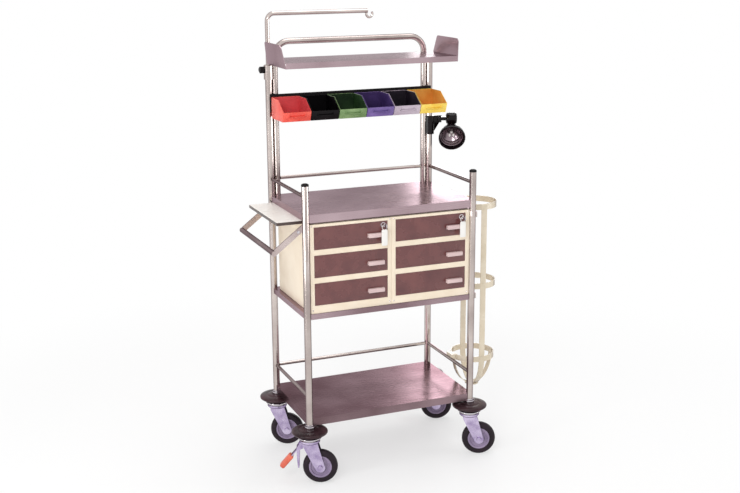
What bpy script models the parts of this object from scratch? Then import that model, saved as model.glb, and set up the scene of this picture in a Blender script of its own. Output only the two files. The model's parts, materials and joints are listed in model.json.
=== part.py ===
"""Crash cart: a welded tube frame on braked swivel casters.

It carries two lockable drawer units, a top shelf on a tube hoop, six lift-off
bins, a telescoping drip rod, a swivel lamp, a pull-out massage board, a push
handle and an oxygen cylinder cage. X runs to the right, Y to the rear, Z up,
and the floor is at zero. All sizes are in metres.
"""
import math

import bmesh
import bpy
from mathutils import Matrix, Vector

# Frame tubes
post_pitch_x = 0.635
post_pitch_y = 0.370
post_radius = 0.0125
front_post_top = 1.080
left_post_top = 1.420
rail_radius = 0.0065
top_rail_height = 0.062
base_rail_height = 0.080
hoop_radius = 0.011
hoop_bend = 0.055
hoop_height = 0.057
cap_height = 0.010
cap_overhang = 0.0008

# Sheets
sheet = 0.0015
sheet_overhang = 0.005
base_level = 0.242
worktop_level = 0.980
sheet_drop = 0.028
tray_drop = 0.020

# Drawer units
drawer_rows = 3
drawer_height = 0.080
row_rail = 0.0195
unit_top_rail = 0.010
unit_bottom_rail = 0.028
unit_stile = 0.015
unit_back = 0.006
unit_depth = 0.345
unit_setback = 0.002
drawer_wall = 0.003
drawer_front = 0.005
drawer_side_drop = 0.012
drawer_recess = 0.001
drawer_clearance = 0.0005
handle_length = 0.060
handle_height = 0.014
handle_reach = 0.014
handle_wall = 0.0025
handle_inset = 0.016
handle_drop = 0.007

# Locks, keys and tags
lock_radius = 0.008
lock_proud = 0.003
lock_depth = 0.014
lock_inset_x = 0.018
lock_inset_z = 0.013
key_neck_radius = 0.0022
key_neck_length = 0.019
key_bow_radius = 0.009
key_thickness = 0.0024
tag_width = 0.022
tag_length = 0.057
tag_thickness = 0.002
tag_ring_radius = 0.0095
tag_ring_wire = 0.0009
tag_stand_off = 0.0012

# Massage board and its guides
board_length = 0.560
board_width = 0.320
board_thickness = 0.012
board_out = 0.090
guide_height = 0.0215
guide_width = 0.011
guide_lip = 0.006

# Top shelf
shelf_level = 1.478
shelf_half_length = 0.325
shelf_depth = 0.212
shelf_drop = 0.020
shelf_end_height = 0.060
shelf_end_flare = math.radians(9.0)
shelf_end_taper = 0.014
shelf_end_corner = 0.022

# Bins and their rail
bin_count = 6
bin_pitch = 0.106
bin_width = 0.1035
bin_depth = 0.135
bin_height = 0.074
bin_wall = 0.002
bin_lip_height = 0.034
bin_rim_depth = 0.078
bin_toe = 0.014
bin_bottom_level = 1.266
bin_hook_drop = 0.007
rail_plate = 0.003
rail_plate_height = 0.066
rail_above_bins = 0.010
rail_ledge = 0.0065
rail_ledge_wall = 0.002
rail_ledge_height = 0.009

# Drip rod
rod_radius = 0.008
rod_level = 1.634
rod_bend = 0.026
rod_reach = 0.384
rod_low_end = 1.010
rod_travel_down = 0.050
post_bore_radius = 0.011
hook_wire = 0.0042
hook_radius = 0.012
clamp_radius = 0.0165
clamp_height = 0.034
clamp_skirt = 0.018
knob_radius = 0.013
knob_length = 0.016
knob_stem = 0.004

# Lamp
lamp_level = 1.221
lamp_collar_radius = 0.020
lamp_collar_height = 0.070
lamp_collar_drop = 0.021
lamp_lug_height = 0.028
lamp_lug = 0.040
lamp_pin_radius = 0.004
lamp_arm_length = 0.050
lamp_arm_width = 0.018
lamp_arm_turn = math.radians(-22.0)
lamp_radius = 0.050
lamp_depth = 0.060
lamp_wall = 0.0025
lamp_drop = 0.068
lamp_forward = 0.040
lamp_neck_drop = 0.0235
lamp_neck_forward = 0.009
lamp_knuckle_radius = 0.013
lamp_knuckle_width = 0.014
lamp_shoulder = 0.004
lamp_knob_length = 0.010
lamp_lean = math.radians(-22.0)

# Push handle
handle_bar_radius = 0.0095
handle_out = 0.112
handle_down = 0.078
handle_arm_height = 0.020
handle_arm_wall = 0.005
handle_arm_level = 0.936

# Oxygen cylinder cage
cage_radius = 0.083
cage_y = -0.010
cage_wall = 0.003
cage_band = 0.022
cage_strip_width = 0.022
cage_top = 0.925
cage_middle = 0.620
cage_low = 0.330
cage_floor = 0.208
cage_strips = 2
basket_straps = 4
cage_first_strip = math.radians(-90.0)
cage_bar_height = 0.020
cage_bar_wall = 0.004

# Casters
wheel_radius = 0.0625
wheel_width = 0.030
tyre_depth = 0.020
hub_recess = 0.005
axle_radius = 0.006
axle_head = 0.0095
axle_head_length = 0.004
caster_offset = 0.036
caster_height = 0.165
caster_turn = math.radians(-22.5)
crown_radius = 0.037
crown_thickness = 0.010
fork_wall = 0.003
fork_gap = 0.004
fork_end_radius = 0.018
king_pin_radius = 0.008
king_pin_length = 0.015
buffer_radius = 0.065
buffer_thickness = 0.018
buffer_cup_radius = 0.043
buffer_cup_height = 0.022
pedal_width = 0.024
pedal_wall = 0.0035
pedal_pivot_out = 0.040
pedal_pivot_drop = 0.020
pedal_length = 0.082
pedal_slope = math.radians(50.0)
pedal_pin_radius = 0.004
finger_drop = 0.076
finger_shoe = 0.0015

# Clearances
seat_gap = 0.0003
slide_gap = 0.0005
turn_gap = 0.0004

# Sides of round forms: thin rods, tubes and wide rings
SMALL = 10
ROUND = 16
WIDE = 24

# Worked out from the sizes above
post_x = post_pitch_x / 2
post_y = post_pitch_y / 2
post_bottom = caster_height + buffer_cup_height + buffer_thickness + seat_gap
board_top = worktop_level - sheet - guide_height
board_bottom = board_top - board_thickness
unit_top = board_bottom - seat_gap
unit_height = (unit_bottom_rail + drawer_rows * drawer_height
               + (drawer_rows - 1) * row_rail + unit_top_rail)
unit_bottom = unit_top - unit_height
tray_level = unit_bottom - seat_gap
unit_front = -post_y - sheet_overhang + unit_setback
unit_width = post_x - post_radius - 1.5 * seat_gap
hoop_leg_x = post_x - post_radius - hoop_radius - seat_gap
hoop_top = shelf_level + hoop_height
shelf_rear = post_y - hoop_radius - seat_gap
rail_front = post_y - post_radius - seat_gap - rail_plate
bin_rim = bin_bottom_level + bin_height
bin_rear = rail_front - rail_ledge - rail_ledge_wall - turn_gap
cage_x = post_x + post_radius + cage_bar_wall + seat_gap + cage_radius * math.cos(math.pi / WIDE)
drawer_width = unit_width - 2 * unit_stile - 2 * drawer_clearance

BLACK = (0.012, 0.011, 0.013, 1.0)
STEEL = (0.66, 0.62, 0.66, 1.0)
CREAM = (0.86, 0.80, 0.64, 1.0)


def make_material(name, colour, roughness, metallic):
    """One Principled material."""
    material = bpy.data.materials.new(name)
    material.use_nodes = True
    shader = material.node_tree.nodes["Principled BSDF"]
    shader.inputs["Base Color"].default_value = colour
    shader.inputs["Roughness"].default_value = roughness
    shader.inputs["Metallic"].default_value = metallic
    material.diffuse_color = colour
    return material


def finish(name, solid, colour, roughness=0.4, metallic=0.0, origin=None):
    """Names a solid, gives it its material and puts its origin on its joint."""
    solid.name = name
    solid.data.name = name
    solid.data.materials.clear()
    solid.data.materials.append(make_material(name + "_finish", colour, roughness, metallic))
    if origin is not None:
        solid.data.transform(Matrix.Translation(-Vector(origin)))
        solid.location = Vector(origin)
    solid.data.shade_smooth()
    solid.data.set_sharp_from_angle(angle=math.radians(34))
    return solid


def steel(name, solid, origin=None):
    """A brushed stainless piece."""
    return finish(name, solid, STEEL, 0.32, 1.0, origin)


def solid_from(bm, name="solid"):
    """Turns a bmesh into an object whose faces look outward."""
    bmesh.ops.recalc_face_normals(bm, faces=bm.faces)
    mesh = bpy.data.meshes.new(name)
    bm.to_mesh(mesh)
    bm.free()
    solid = bpy.data.objects.new(name, mesh)
    bpy.context.scene.collection.objects.link(solid)
    return solid


def box(low, high):
    """A box between two corners."""
    bm = bmesh.new()
    bmesh.ops.create_cube(bm, size=1.0)
    low = Vector(low)
    size = Vector(high) - low
    for vert in bm.verts:
        vert.co = Vector(low[i] + (vert.co[i] + 0.5) * size[i] for i in range(3))
    return solid_from(bm)


def rod(start, end, radius, sides=ROUND):
    """A round bar from one point to another."""
    return sweep([Vector(start), Vector(end)], radius, sides)


def sweep(points, radius, sides=ROUND, closed=False):
    """A round tube along a path, with flat ends or closed on itself."""
    bm = bmesh.new()
    count = len(points)
    rings = []
    side = None
    for i, point in enumerate(points):
        if closed:
            along = points[(i + 1) % count] - points[i - 1]
        else:
            along = points[min(i + 1, count - 1)] - points[max(i - 1, 0)]
        along.normalize()
        if side is None:
            side = along.orthogonal().normalized()
            if closed:
                side = plane_normal(points)
        side = (side - along * side.dot(along)).normalized()
        up = along.cross(side)
        ring = []
        for k in range(sides):
            angle = 2 * math.pi * (k + 0.5) / sides
            ring.append(bm.verts.new(point + radius * (math.cos(angle) * side + math.sin(angle) * up)))
        rings.append(ring)
    spans = count if closed else count - 1
    for i in range(spans):
        first = rings[i]
        second = rings[(i + 1) % count]
        for k in range(sides):
            after = (k + 1) % sides
            bm.faces.new((first[k], first[after], second[after], second[k]))
    if not closed:
        bm.faces.new(rings[0])
        bm.faces.new(rings[-1])
    return solid_from(bm)


def plane_normal(points):
    """The normal of a flat closed path."""
    return (points[1] - points[0]).cross(points[2] - points[1]).normalized()


def rounded_path(corners, bend, steps=6):
    """A path through corners whose turns are arcs of one radius."""
    corners = [Vector(c) for c in corners]
    path = [corners[0]]
    for before, corner, after in zip(corners, corners[1:], corners[2:]):
        back = (before - corner).normalized()
        ahead = (after - corner).normalized()
        half = back.angle(ahead) / 2
        reach = bend / math.tan(half)
        centre = corner + (back + ahead).normalized() * (bend / math.sin(half))
        start = corner + back * reach - centre
        end = corner + ahead * reach - centre
        sweep_angle = start.angle(end)
        axis = start.cross(end).normalized()
        for k in range(steps + 1):
            turn = Matrix.Rotation(sweep_angle * k / steps, 3, axis)
            path.append(centre + turn @ start)
    path.append(corners[-1])
    return path


def extrude(outline, depth, placing):
    """A flat outline pushed along local +Z, then placed by a matrix."""
    bm = bmesh.new()
    low = [bm.verts.new((x, y, 0.0)) for x, y in outline]
    high = [bm.verts.new((x, y, depth)) for x, y in outline]
    bm.faces.new(low)
    bm.faces.new(high)
    count = len(outline)
    for i in range(count):
        after = (i + 1) % count
        bm.faces.new((low[i], low[after], high[after], high[i]))
    bmesh.ops.transform(bm, matrix=placing, verts=bm.verts)
    return solid_from(bm)


def extrude_x(outline, x_low, x_high):
    """An outline of (y, z) points pushed along X."""
    placing = Matrix(((0, 0, 1, x_low), (1, 0, 0, 0), (0, 1, 0, 0), (0, 0, 0, 1)))
    return extrude(outline, x_high - x_low, placing)


def extrude_y(outline, y_low, y_high):
    """An outline of (x, z) points pushed along Y."""
    placing = Matrix(((1, 0, 0, 0), (0, 0, 1, y_low), (0, 1, 0, 0), (0, 0, 0, 1)))
    return extrude(outline, y_high - y_low, placing)


def extrude_z(outline, z_low, z_high):
    """An outline of (x, y) points pushed along Z."""
    return extrude(outline, z_high - z_low, Matrix.Translation((0, 0, z_low)))


def lathe(profile, sides=ROUND, centre=(0, 0, 0), axis="Z"):
    """A closed (radius, height) profile turned about an axis."""
    bm = bmesh.new()
    rings = []
    for radius, height in profile:
        if radius < 1e-9:
            rings.append([bm.verts.new((0, 0, height))])
            continue
        ring = []
        for k in range(sides):
            angle = 2 * math.pi * (k + 0.5) / sides
            ring.append(bm.verts.new((radius * math.cos(angle), radius * math.sin(angle), height)))
        rings.append(ring)
    count = len(rings)
    for i in range(count):
        first = rings[i]
        second = rings[(i + 1) % count]
        if len(first) == 1 and len(second) == 1:
            continue
        for k in range(sides):
            after = (k + 1) % sides
            corners = [first[k % len(first)], first[after % len(first)]]
            corners += [second[after % len(second)], second[k % len(second)]]
            unique = list(dict.fromkeys(corners))
            bm.faces.new(unique)
    turns = {"Z": Matrix.Identity(4), "X": Matrix.Rotation(math.pi / 2, 4, "Y"),
             "Y": Matrix.Rotation(-math.pi / 2, 4, "X")}
    bmesh.ops.transform(bm, matrix=Matrix.Translation(Vector(centre)) @ turns[axis], verts=bm.verts)
    return solid_from(bm)


def combine(body, tool, operation):
    """One exact Boolean; the tool is used up."""
    step = body.modifiers.new("step", "BOOLEAN")
    step.operation = operation
    step.solver = "EXACT"
    step.object = tool
    bpy.context.view_layer.update()
    graph = bpy.context.evaluated_depsgraph_get()
    result = bpy.data.meshes.new_from_object(body.evaluated_get(graph))
    body.modifiers.clear()
    body.data = result
    bpy.data.objects.remove(tool)
    return body


def fuse(*solids):
    """Welds overlapping solids into one."""
    body = solids[0]
    for tool in solids[1:]:
        combine(body, tool, "UNION")
    return body


def cut(body, *tools):
    """Takes tools away from a body."""
    for tool in tools:
        combine(body, tool, "DIFFERENCE")
    return body


def arc(centre_x, centre_y, radius, start, end, steps):
    """Points of an arc, both ends included."""
    points = []
    for k in range(steps + 1):
        angle = start + (end - start) * k / steps
        points.append((centre_x + radius * math.cos(angle), centre_y + radius * math.sin(angle)))
    return points


def notched_outline(half_x, half_y, notch):
    """A rectangle whose corners are cut round by the four posts."""
    over_x = half_x - post_x
    over_y = half_y - post_y
    first = -math.asin(over_y / notch)
    last = math.acos(-over_x / notch)
    quarter = arc(0, 0, notch, last, first, 6)
    outline = []
    for sign_x, sign_y in ((-1, -1), (1, -1), (1, 1), (-1, 1)):
        corner = [(sign_x * (post_x - x), sign_y * (post_y - y)) for x, y in quarter]
        if sign_x * sign_y < 0:
            corner.reverse()
        outline += corner
    return outline


def folded_sheet(level, drop):
    """A sheet notched round the posts, with its edges folded down."""
    half_x = post_x + sheet_overhang
    half_y = post_y + sheet_overhang
    notch = post_radius + seat_gap
    outer = extrude_z(notched_outline(half_x, half_y, notch), level - drop, level)
    inside = notched_outline(half_x - sheet, half_y - sheet, notch + sheet)
    hollow = extrude_z(inside, level - drop - sheet, level - sheet)
    return cut(outer, hollow)


def build_end_frames():
    """Two welded end frames: a short front post, a tall rear post and the side rails."""
    rails = (worktop_level + top_rail_height, base_level + base_rail_height)
    for name, x, rear_top in (("left_end_frame", -post_x, left_post_top),
                              ("right_end_frame", post_x, shelf_level - shelf_drop - seat_gap)):
        frame = rod((x, -post_y, post_bottom), (x, -post_y, front_post_top), post_radius)
        rear = rod((x, post_y, post_bottom), (x, post_y, rear_top), post_radius)
        side_rails = [rod((x, -post_y, z), (x, post_y, z), rail_radius, SMALL) for z in rails]
        frame = fuse(side_rails[0], frame, rear, side_rails[1])
        if x < 0:
            bore_end = rod_low_end - rod_travel_down - post_bore_radius
            frame = cut(frame, rod((x, post_y, bore_end), (x, post_y, rear_top + sheet), post_bore_radius))
        else:
            frame = fuse(frame, *cage_bars())
        steel(name, frame)


def cage_bars():
    """Flat bars across the right posts that carry the cylinder cage."""
    bars = []
    for level in (cage_top, cage_middle):
        outer = post_x + post_radius + cage_bar_wall
        low = (post_x + post_radius - cage_bar_wall / 2, -post_y - post_radius / 2,
               level - cage_bar_height / 2)
        high = (outer, post_y + post_radius / 2, level + cage_bar_height / 2)
        bars.append(box(low, high))
    return bars


def build_caps():
    """Domed plugs on the open ends of the front posts."""
    outer = post_radius + cap_overhang
    low = front_post_top + seat_gap
    profile = [(0, low), (outer, low), (outer, low + cap_height / 2)]
    profile += [(outer * math.cos(a), low + cap_height / 2 * (1 + math.sin(a)))
                for a in (math.pi / 6, math.pi / 3)]
    profile.append((0, low + cap_height))
    for name, x in (("front_left_cap", -post_x), ("front_right_cap", post_x)):
        finish(name, lathe(profile, ROUND, (x, -post_y, 0)), BLACK, 0.45)


def build_rear_rails():
    """The rear guard rails above the worktop and the base shelf."""
    top_half = hoop_leg_x - hoop_radius - seat_gap
    base_half = post_x - post_radius - seat_gap
    for name, half, z in (("worktop_rear_rail", top_half, worktop_level + top_rail_height),
                          ("base_rear_rail", base_half, base_level + base_rail_height)):
        steel(name, rod((-half, post_y, z), (half, post_y, z), rail_radius, SMALL))


def build_hoop():
    """The bent tube that rises through the worktop beside the rear posts and arches over the top shelf."""
    low = worktop_level - sheet_drop
    corners = [(-hoop_leg_x, post_y, low), (-hoop_leg_x, post_y, hoop_top),
               (hoop_leg_x, post_y, hoop_top), (hoop_leg_x, post_y, low)]
    steel("shelf_hoop", sweep(rounded_path(corners, hoop_bend), hoop_radius, ROUND))


def hoop_leg_space(side, low, high):
    """The room for a leg of the hoop beside a rear post."""
    return rod((side * hoop_leg_x, post_y, low), (side * hoop_leg_x, post_y, high),
               hoop_radius + seat_gap)


def build_worktop():
    """The worktop, with a slot in its left edge and guides for the massage board below."""
    top = folded_sheet(worktop_level, sheet_drop)
    half = board_width / 2 + slide_gap
    edge = -post_x - sheet_overhang
    low = worktop_level - 2 * sheet_drop
    slot = box((edge - sheet, -half, low), (edge + 2 * sheet, half, board_top + slide_gap))
    top = cut(top, slot)
    for side in (-1, 1):
        near = side * (hoop_leg_x + hoop_radius / 2)
        far = side * (post_x - post_radius / 2)
        corner = box((min(near, far), post_y - sheet_overhang / 2, low),
                     (max(near, far), post_y + 2 * sheet_overhang, worktop_level + sheet))
        top = cut(top, hoop_leg_space(side, low, worktop_level + sheet), corner)
    under = worktop_level - sheet / 2
    for side in (-1, 1):
        outline = [(half + guide_width, under), (half - guide_lip, under),
                   (half - guide_lip, board_top + slide_gap), (half, board_top + slide_gap),
                   (half, board_bottom), (half + guide_width, board_bottom)]
        outline = [(side * y, z) for y, z in outline]
        reach = post_x - post_radius - guide_width
        top = fuse(top, extrude_x(outline, -reach, reach))
    steel("worktop", top)


def build_sheets():
    """The base shelf and the tray under the drawer units."""
    steel("base_shelf", folded_sheet(base_level, sheet_drop))
    steel("unit_tray", folded_sheet(tray_level, tray_drop))


def row_bottom(row):
    """The lower edge of a drawer opening, rows counted from the bottom."""
    return unit_bottom + unit_bottom_rail + row * (drawer_height + row_rail)


def build_unit(side_name, left):
    """One moulded unit: a casing with its drawers, handles, lock and key."""
    right = left + unit_width
    casing = box((left, unit_front, unit_bottom), (right, unit_front + unit_depth, unit_top))
    for row in range(drawer_rows):
        low = row_bottom(row)
        rear = unit_front + unit_depth - unit_back
        casing = cut(casing, box((left + unit_stile, unit_front - sheet, low),
                                 (right - unit_stile, rear, low + drawer_height)))
    finish(side_name + "_unit", casing, CREAM, 0.42)
    for row, row_name in enumerate(("bottom", "middle", "top")[:drawer_rows]):
        build_drawer(side_name + "_" + row_name, left + unit_stile + drawer_clearance, row,
                     row == drawer_rows - 1)


def build_drawer(name, left, row, locked):
    """A smoked plastic drawer with its pull, and its key and tag where it locks."""
    right = left + drawer_width
    front = unit_front + drawer_recess
    rear = unit_front + unit_depth - unit_back - slide_gap
    low = row_bottom(row) + seat_gap
    top = row_bottom(row) + drawer_height - drawer_clearance
    body = box((left, front, low), (right, rear, top))
    body = cut(body, box((left - sheet, front + drawer_front, top - drawer_side_drop),
                         (right + sheet, rear + sheet, top + sheet)))
    body = cut(body, box((left + drawer_wall, front + drawer_front, low + drawer_wall),
                         (right - drawer_wall, rear - drawer_wall, top + sheet)))
    if locked:
        lock_x = right - lock_inset_x
        lock_z = top - lock_inset_z
        barrel = rod((lock_x, front - lock_proud, lock_z), (lock_x, front + lock_depth, lock_z),
                     lock_radius, SMALL)
        body = fuse(body, barrel)
        hole = key_neck_radius + turn_gap
        body = cut(body, rod((lock_x, front - lock_depth, lock_z),
                             (lock_x, front + lock_depth / 2, lock_z), hole, SMALL))
        build_key(name, lock_x, front, lock_z)
        build_tag(name, lock_x, front, lock_z)
    finish(name + "_drawer", body, (0.055, 0.016, 0.018, 1.0), 0.28)
    build_pull(name, right - handle_inset - handle_length, front, (low + top) / 2 - handle_drop)


def build_pull(name, left, front, level):
    """A hooked finger pull: a foot on the drawer front, a shelf and a turned-down lip."""
    back = front - seat_gap
    tip = front - handle_reach
    low = level - handle_height / 2
    high = level + handle_height / 2
    outline = [(back, low), (back, high), (tip + handle_wall, high), (tip, high - handle_wall),
               (tip, low), (tip + handle_wall, low), (tip + handle_wall, high - 2 * handle_wall),
               (back - handle_wall, high - 2 * handle_wall), (back - handle_wall, low)]
    finish(name + "_pull", extrude_x(outline, left, left + handle_length), (0.88, 0.84, 0.84, 1.0), 0.3)


def build_key(name, x, front, z):
    """A key in its lock: blade and neck, with a flat round bow."""
    inner = front + lock_depth / 2 - slide_gap
    outer = front - lock_proud - key_neck_length
    neck = rod((x, outer, z), (x, inner, z), key_neck_radius, SMALL)
    bow_y = outer - key_bow_radius + key_neck_radius
    bow = rod((x - key_thickness / 2, bow_y, z), (x + key_thickness / 2, bow_y, z), key_bow_radius)
    hole_y = bow_y - key_bow_radius / 2
    hole = rod((x - key_thickness, hole_y, z), (x + key_thickness, hole_y, z), key_bow_radius / 4, SMALL)
    key = cut(fuse(neck, bow), hole)
    finish(name + "_key", key, (0.55, 0.5, 0.45, 1.0), 0.3, 1.0, (x, front, z))


def build_tag(name, x, front, z):
    """A plain tag on a wire ring that hangs round the key's neck."""
    y = front - handle_reach - tag_stand_off - tag_thickness / 2
    centre_z = z + key_neck_radius + turn_gap - tag_ring_radius + tag_ring_wire
    ring = [Vector((x + tag_ring_radius * math.cos(2 * math.pi * k / ROUND), y,
                    centre_z + tag_ring_radius * math.sin(2 * math.pi * k / ROUND))) for k in range(ROUND)]
    loop = sweep(ring, tag_ring_wire, 6, closed=True)
    top = centre_z - tag_ring_radius + tag_ring_wire / 2
    half = tag_width / 2
    corner = half / 3
    outline = []
    for sx, sz, start in ((1, 1, 0), (-1, 1, 90), (-1, -1, 180), (1, -1, 270)):
        outline += arc(x + sx * (half - corner), top - tag_length / 2 + sz * (tag_length / 2 - corner),
                       corner, math.radians(start), math.radians(start + 90), 4)
    plate = extrude_y(outline, y - tag_thickness / 2, y + tag_thickness / 2)
    finish(name + "_tag", fuse(plate, loop), (0.93, 0.92, 0.9, 1.0), 0.5)


def build_board():
    """The massage board, drawn part way out of its slot."""
    left = -post_x - sheet_overhang - board_out
    low = board_bottom
    half = board_width / 2
    board = box((left, -half, low), (left + board_length, half, board_top))
    edge = board.modifiers.new("rounded_edges", "BEVEL")
    edge.width = board_thickness / 6
    edge.segments = 2
    finish("massage_board", board, (0.9, 0.84, 0.7, 1.0), 0.4)


def build_top_shelf():
    """One folded sheet: floor, front edge turned down and two flared end plates."""
    front = shelf_rear - shelf_depth
    floor = box((-shelf_half_length, front, shelf_level - sheet),
                (shelf_half_length, shelf_rear, shelf_level))
    lip = box((-shelf_half_length, front, shelf_level - shelf_drop),
              (shelf_half_length, front + sheet, shelf_level))
    shelf = fuse(floor, lip)
    height = (shelf_end_height + shelf_drop) / math.cos(shelf_end_flare)
    corner = shelf_end_corner
    top_front = front + shelf_end_taper
    top_rear = shelf_rear - shelf_end_taper
    outline = [(shelf_rear, 0), (front, 0)]
    outline += arc(top_front + corner, height - corner, corner, math.pi, math.pi / 2, 5)
    outline += arc(top_rear - corner / 2, height - corner / 2, corner / 2, math.pi / 2, 0, 4)
    for side in (-1, 1):
        end = extrude_x(outline, -sheet, sheet / 2)
        tilt = Matrix.Rotation(side * shelf_end_flare, 4, "Y")
        flip = Matrix.Diagonal((side, 1, 1, 1))
        move = Matrix.Translation((side * shelf_half_length, 0, shelf_level - shelf_drop))
        end.data.transform(move @ tilt @ flip)
        if side < 0:
            end.data.flip_normals()
        shelf = fuse(shelf, end)
    steel("top_shelf", shelf)


def build_bins():
    """The louvred bin rail and six hopper-front bins that hook into it."""
    half = bin_count * bin_pitch / 2
    high = bin_rim + rail_above_bins
    lip_out = rail_front - rail_ledge
    ledge = bin_rim - bin_hook_drop - rail_ledge_wall - 2 * turn_gap
    outline = [(rail_front + rail_plate, high - rail_plate_height), (rail_front + rail_plate, high),
               (rail_front, high), (rail_front, ledge), (lip_out, ledge),
               (lip_out, ledge + rail_ledge_height - rail_ledge_wall),
               (lip_out - rail_ledge_wall, ledge + rail_ledge_height - rail_ledge_wall),
               (lip_out - rail_ledge_wall, ledge - rail_ledge_wall), (rail_front, ledge - rail_ledge_wall),
               (rail_front, high - rail_plate_height)]
    finish("bin_rail", extrude_x(outline, -half, half), BLACK, 0.5)
    colours = {"red": (0.75, 0.05, 0.04, 1), "black": (0.015, 0.013, 0.015, 1),
               "green": (0.13, 0.33, 0.08, 1), "blue": (0.09, 0.05, 0.33, 1),
               "grey": (0.55, 0.5, 0.52, 1), "yellow": (0.85, 0.5, 0.02, 1)}
    for i, (name, colour) in enumerate(colours.items()):
        centre = (i - (bin_count - 1) / 2) * bin_pitch
        finish(name + "_bin", bin_body(centre), colour, 0.35, 0.0, (centre, bin_rear, bin_rim))


def bin_body(centre):
    """A stacking bin: low front lip, sloping cheeks and a hook along its rear rim."""
    front = bin_rear - bin_depth
    low = bin_bottom_level
    outline = [(bin_rear, low), (bin_rear, bin_rim), (bin_rear - bin_rim_depth, bin_rim),
               (front, low + bin_lip_height), (front + bin_toe, low)]
    body = extrude_x(outline, centre - bin_width / 2, centre + bin_width / 2)
    wall = bin_wall
    inner = [(bin_rear - wall, low + wall), (bin_rear - wall, bin_rim + bin_height),
             (front + wall, bin_rim + bin_height), (front + wall, low + bin_lip_height),
             (front + bin_toe + wall, low + wall)]
    body = cut(body, extrude_x(inner, centre - bin_width / 2 + wall, centre + bin_width / 2 - wall))
    tongue = rail_front - turn_gap
    hook = [(bin_rear - wall / 2, bin_rim), (tongue, bin_rim), (tongue, bin_rim - bin_hook_drop),
            (tongue - wall, bin_rim - bin_hook_drop), (tongue - wall, bin_rim - wall),
            (bin_rear - wall / 2, bin_rim - wall)]
    return fuse(body, extrude_x(hook, centre - bin_width / 2 + 2 * wall, centre + bin_width / 2 - 2 * wall))


def build_drip_rod():
    """The telescoping drip rod with its hook, its clamp and the clamp's knob."""
    x = -post_x
    path = rounded_path([(x, post_y, rod_low_end), (x, post_y, rod_level),
                         (x + rod_reach, post_y, rod_level)], rod_bend)
    pole = sweep(path, rod_radius, ROUND)
    start = x + rod_reach - hook_wire
    bottom = rod_level - hook_radius
    centre_x = start + hook_radius
    hook = [Vector((start - hook_wire, post_y, rod_level)), Vector((start, post_y, rod_level - hook_wire))]
    hook += [Vector((px, post_y, pz)) for px, pz in
             arc(centre_x, bottom, hook_radius, math.pi, 2.2 * math.pi, 12)]
    pole = fuse(pole, sweep(hook, hook_wire, SMALL))
    steel("drip_rod", pole, (x, post_y, left_post_top))

    bore = rod_radius + turn_gap
    socket = post_radius + seat_gap
    seat = left_post_top + seat_gap
    top = left_post_top + clamp_height
    low = left_post_top - clamp_skirt
    chamfer = clamp_radius / 8
    profile = [(bore, seat), (socket, seat), (socket, low), (clamp_radius, low),
               (clamp_radius, top - chamfer), (clamp_radius - chamfer, top), (bore, top)]
    collar = lathe(profile, ROUND, (x, post_y, 0))
    knob_z = left_post_top + clamp_height / 2
    drill = rod((x - 2 * clamp_radius, post_y, knob_z), (x - bore - turn_gap, post_y, knob_z),
                knob_stem + turn_gap, SMALL)
    steel("rod_clamp", cut(collar, drill, hoop_leg_space(-1, low - sheet, top + sheet)))

    face = -clamp_radius - turn_gap
    stem_in = -bore - 4 * turn_gap
    lobes = []
    for k in range(24):
        angle = 2 * math.pi * k / 24
        reach = knob_radius * (0.86 + 0.14 * math.cos(3 * angle))
        lobes.append((post_y + reach * math.cos(angle), knob_z + reach * math.sin(angle)))
    grip = extrude_x(lobes, x + face - knob_length, x + face)
    stem = rod((x + face - knob_length / 2, post_y, knob_z), (x + stem_in, post_y, knob_z), knob_stem, SMALL)
    finish("clamp_knob", fuse(grip, stem), BLACK, 0.4, 0.0, (x + face, post_y, knob_z))


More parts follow.
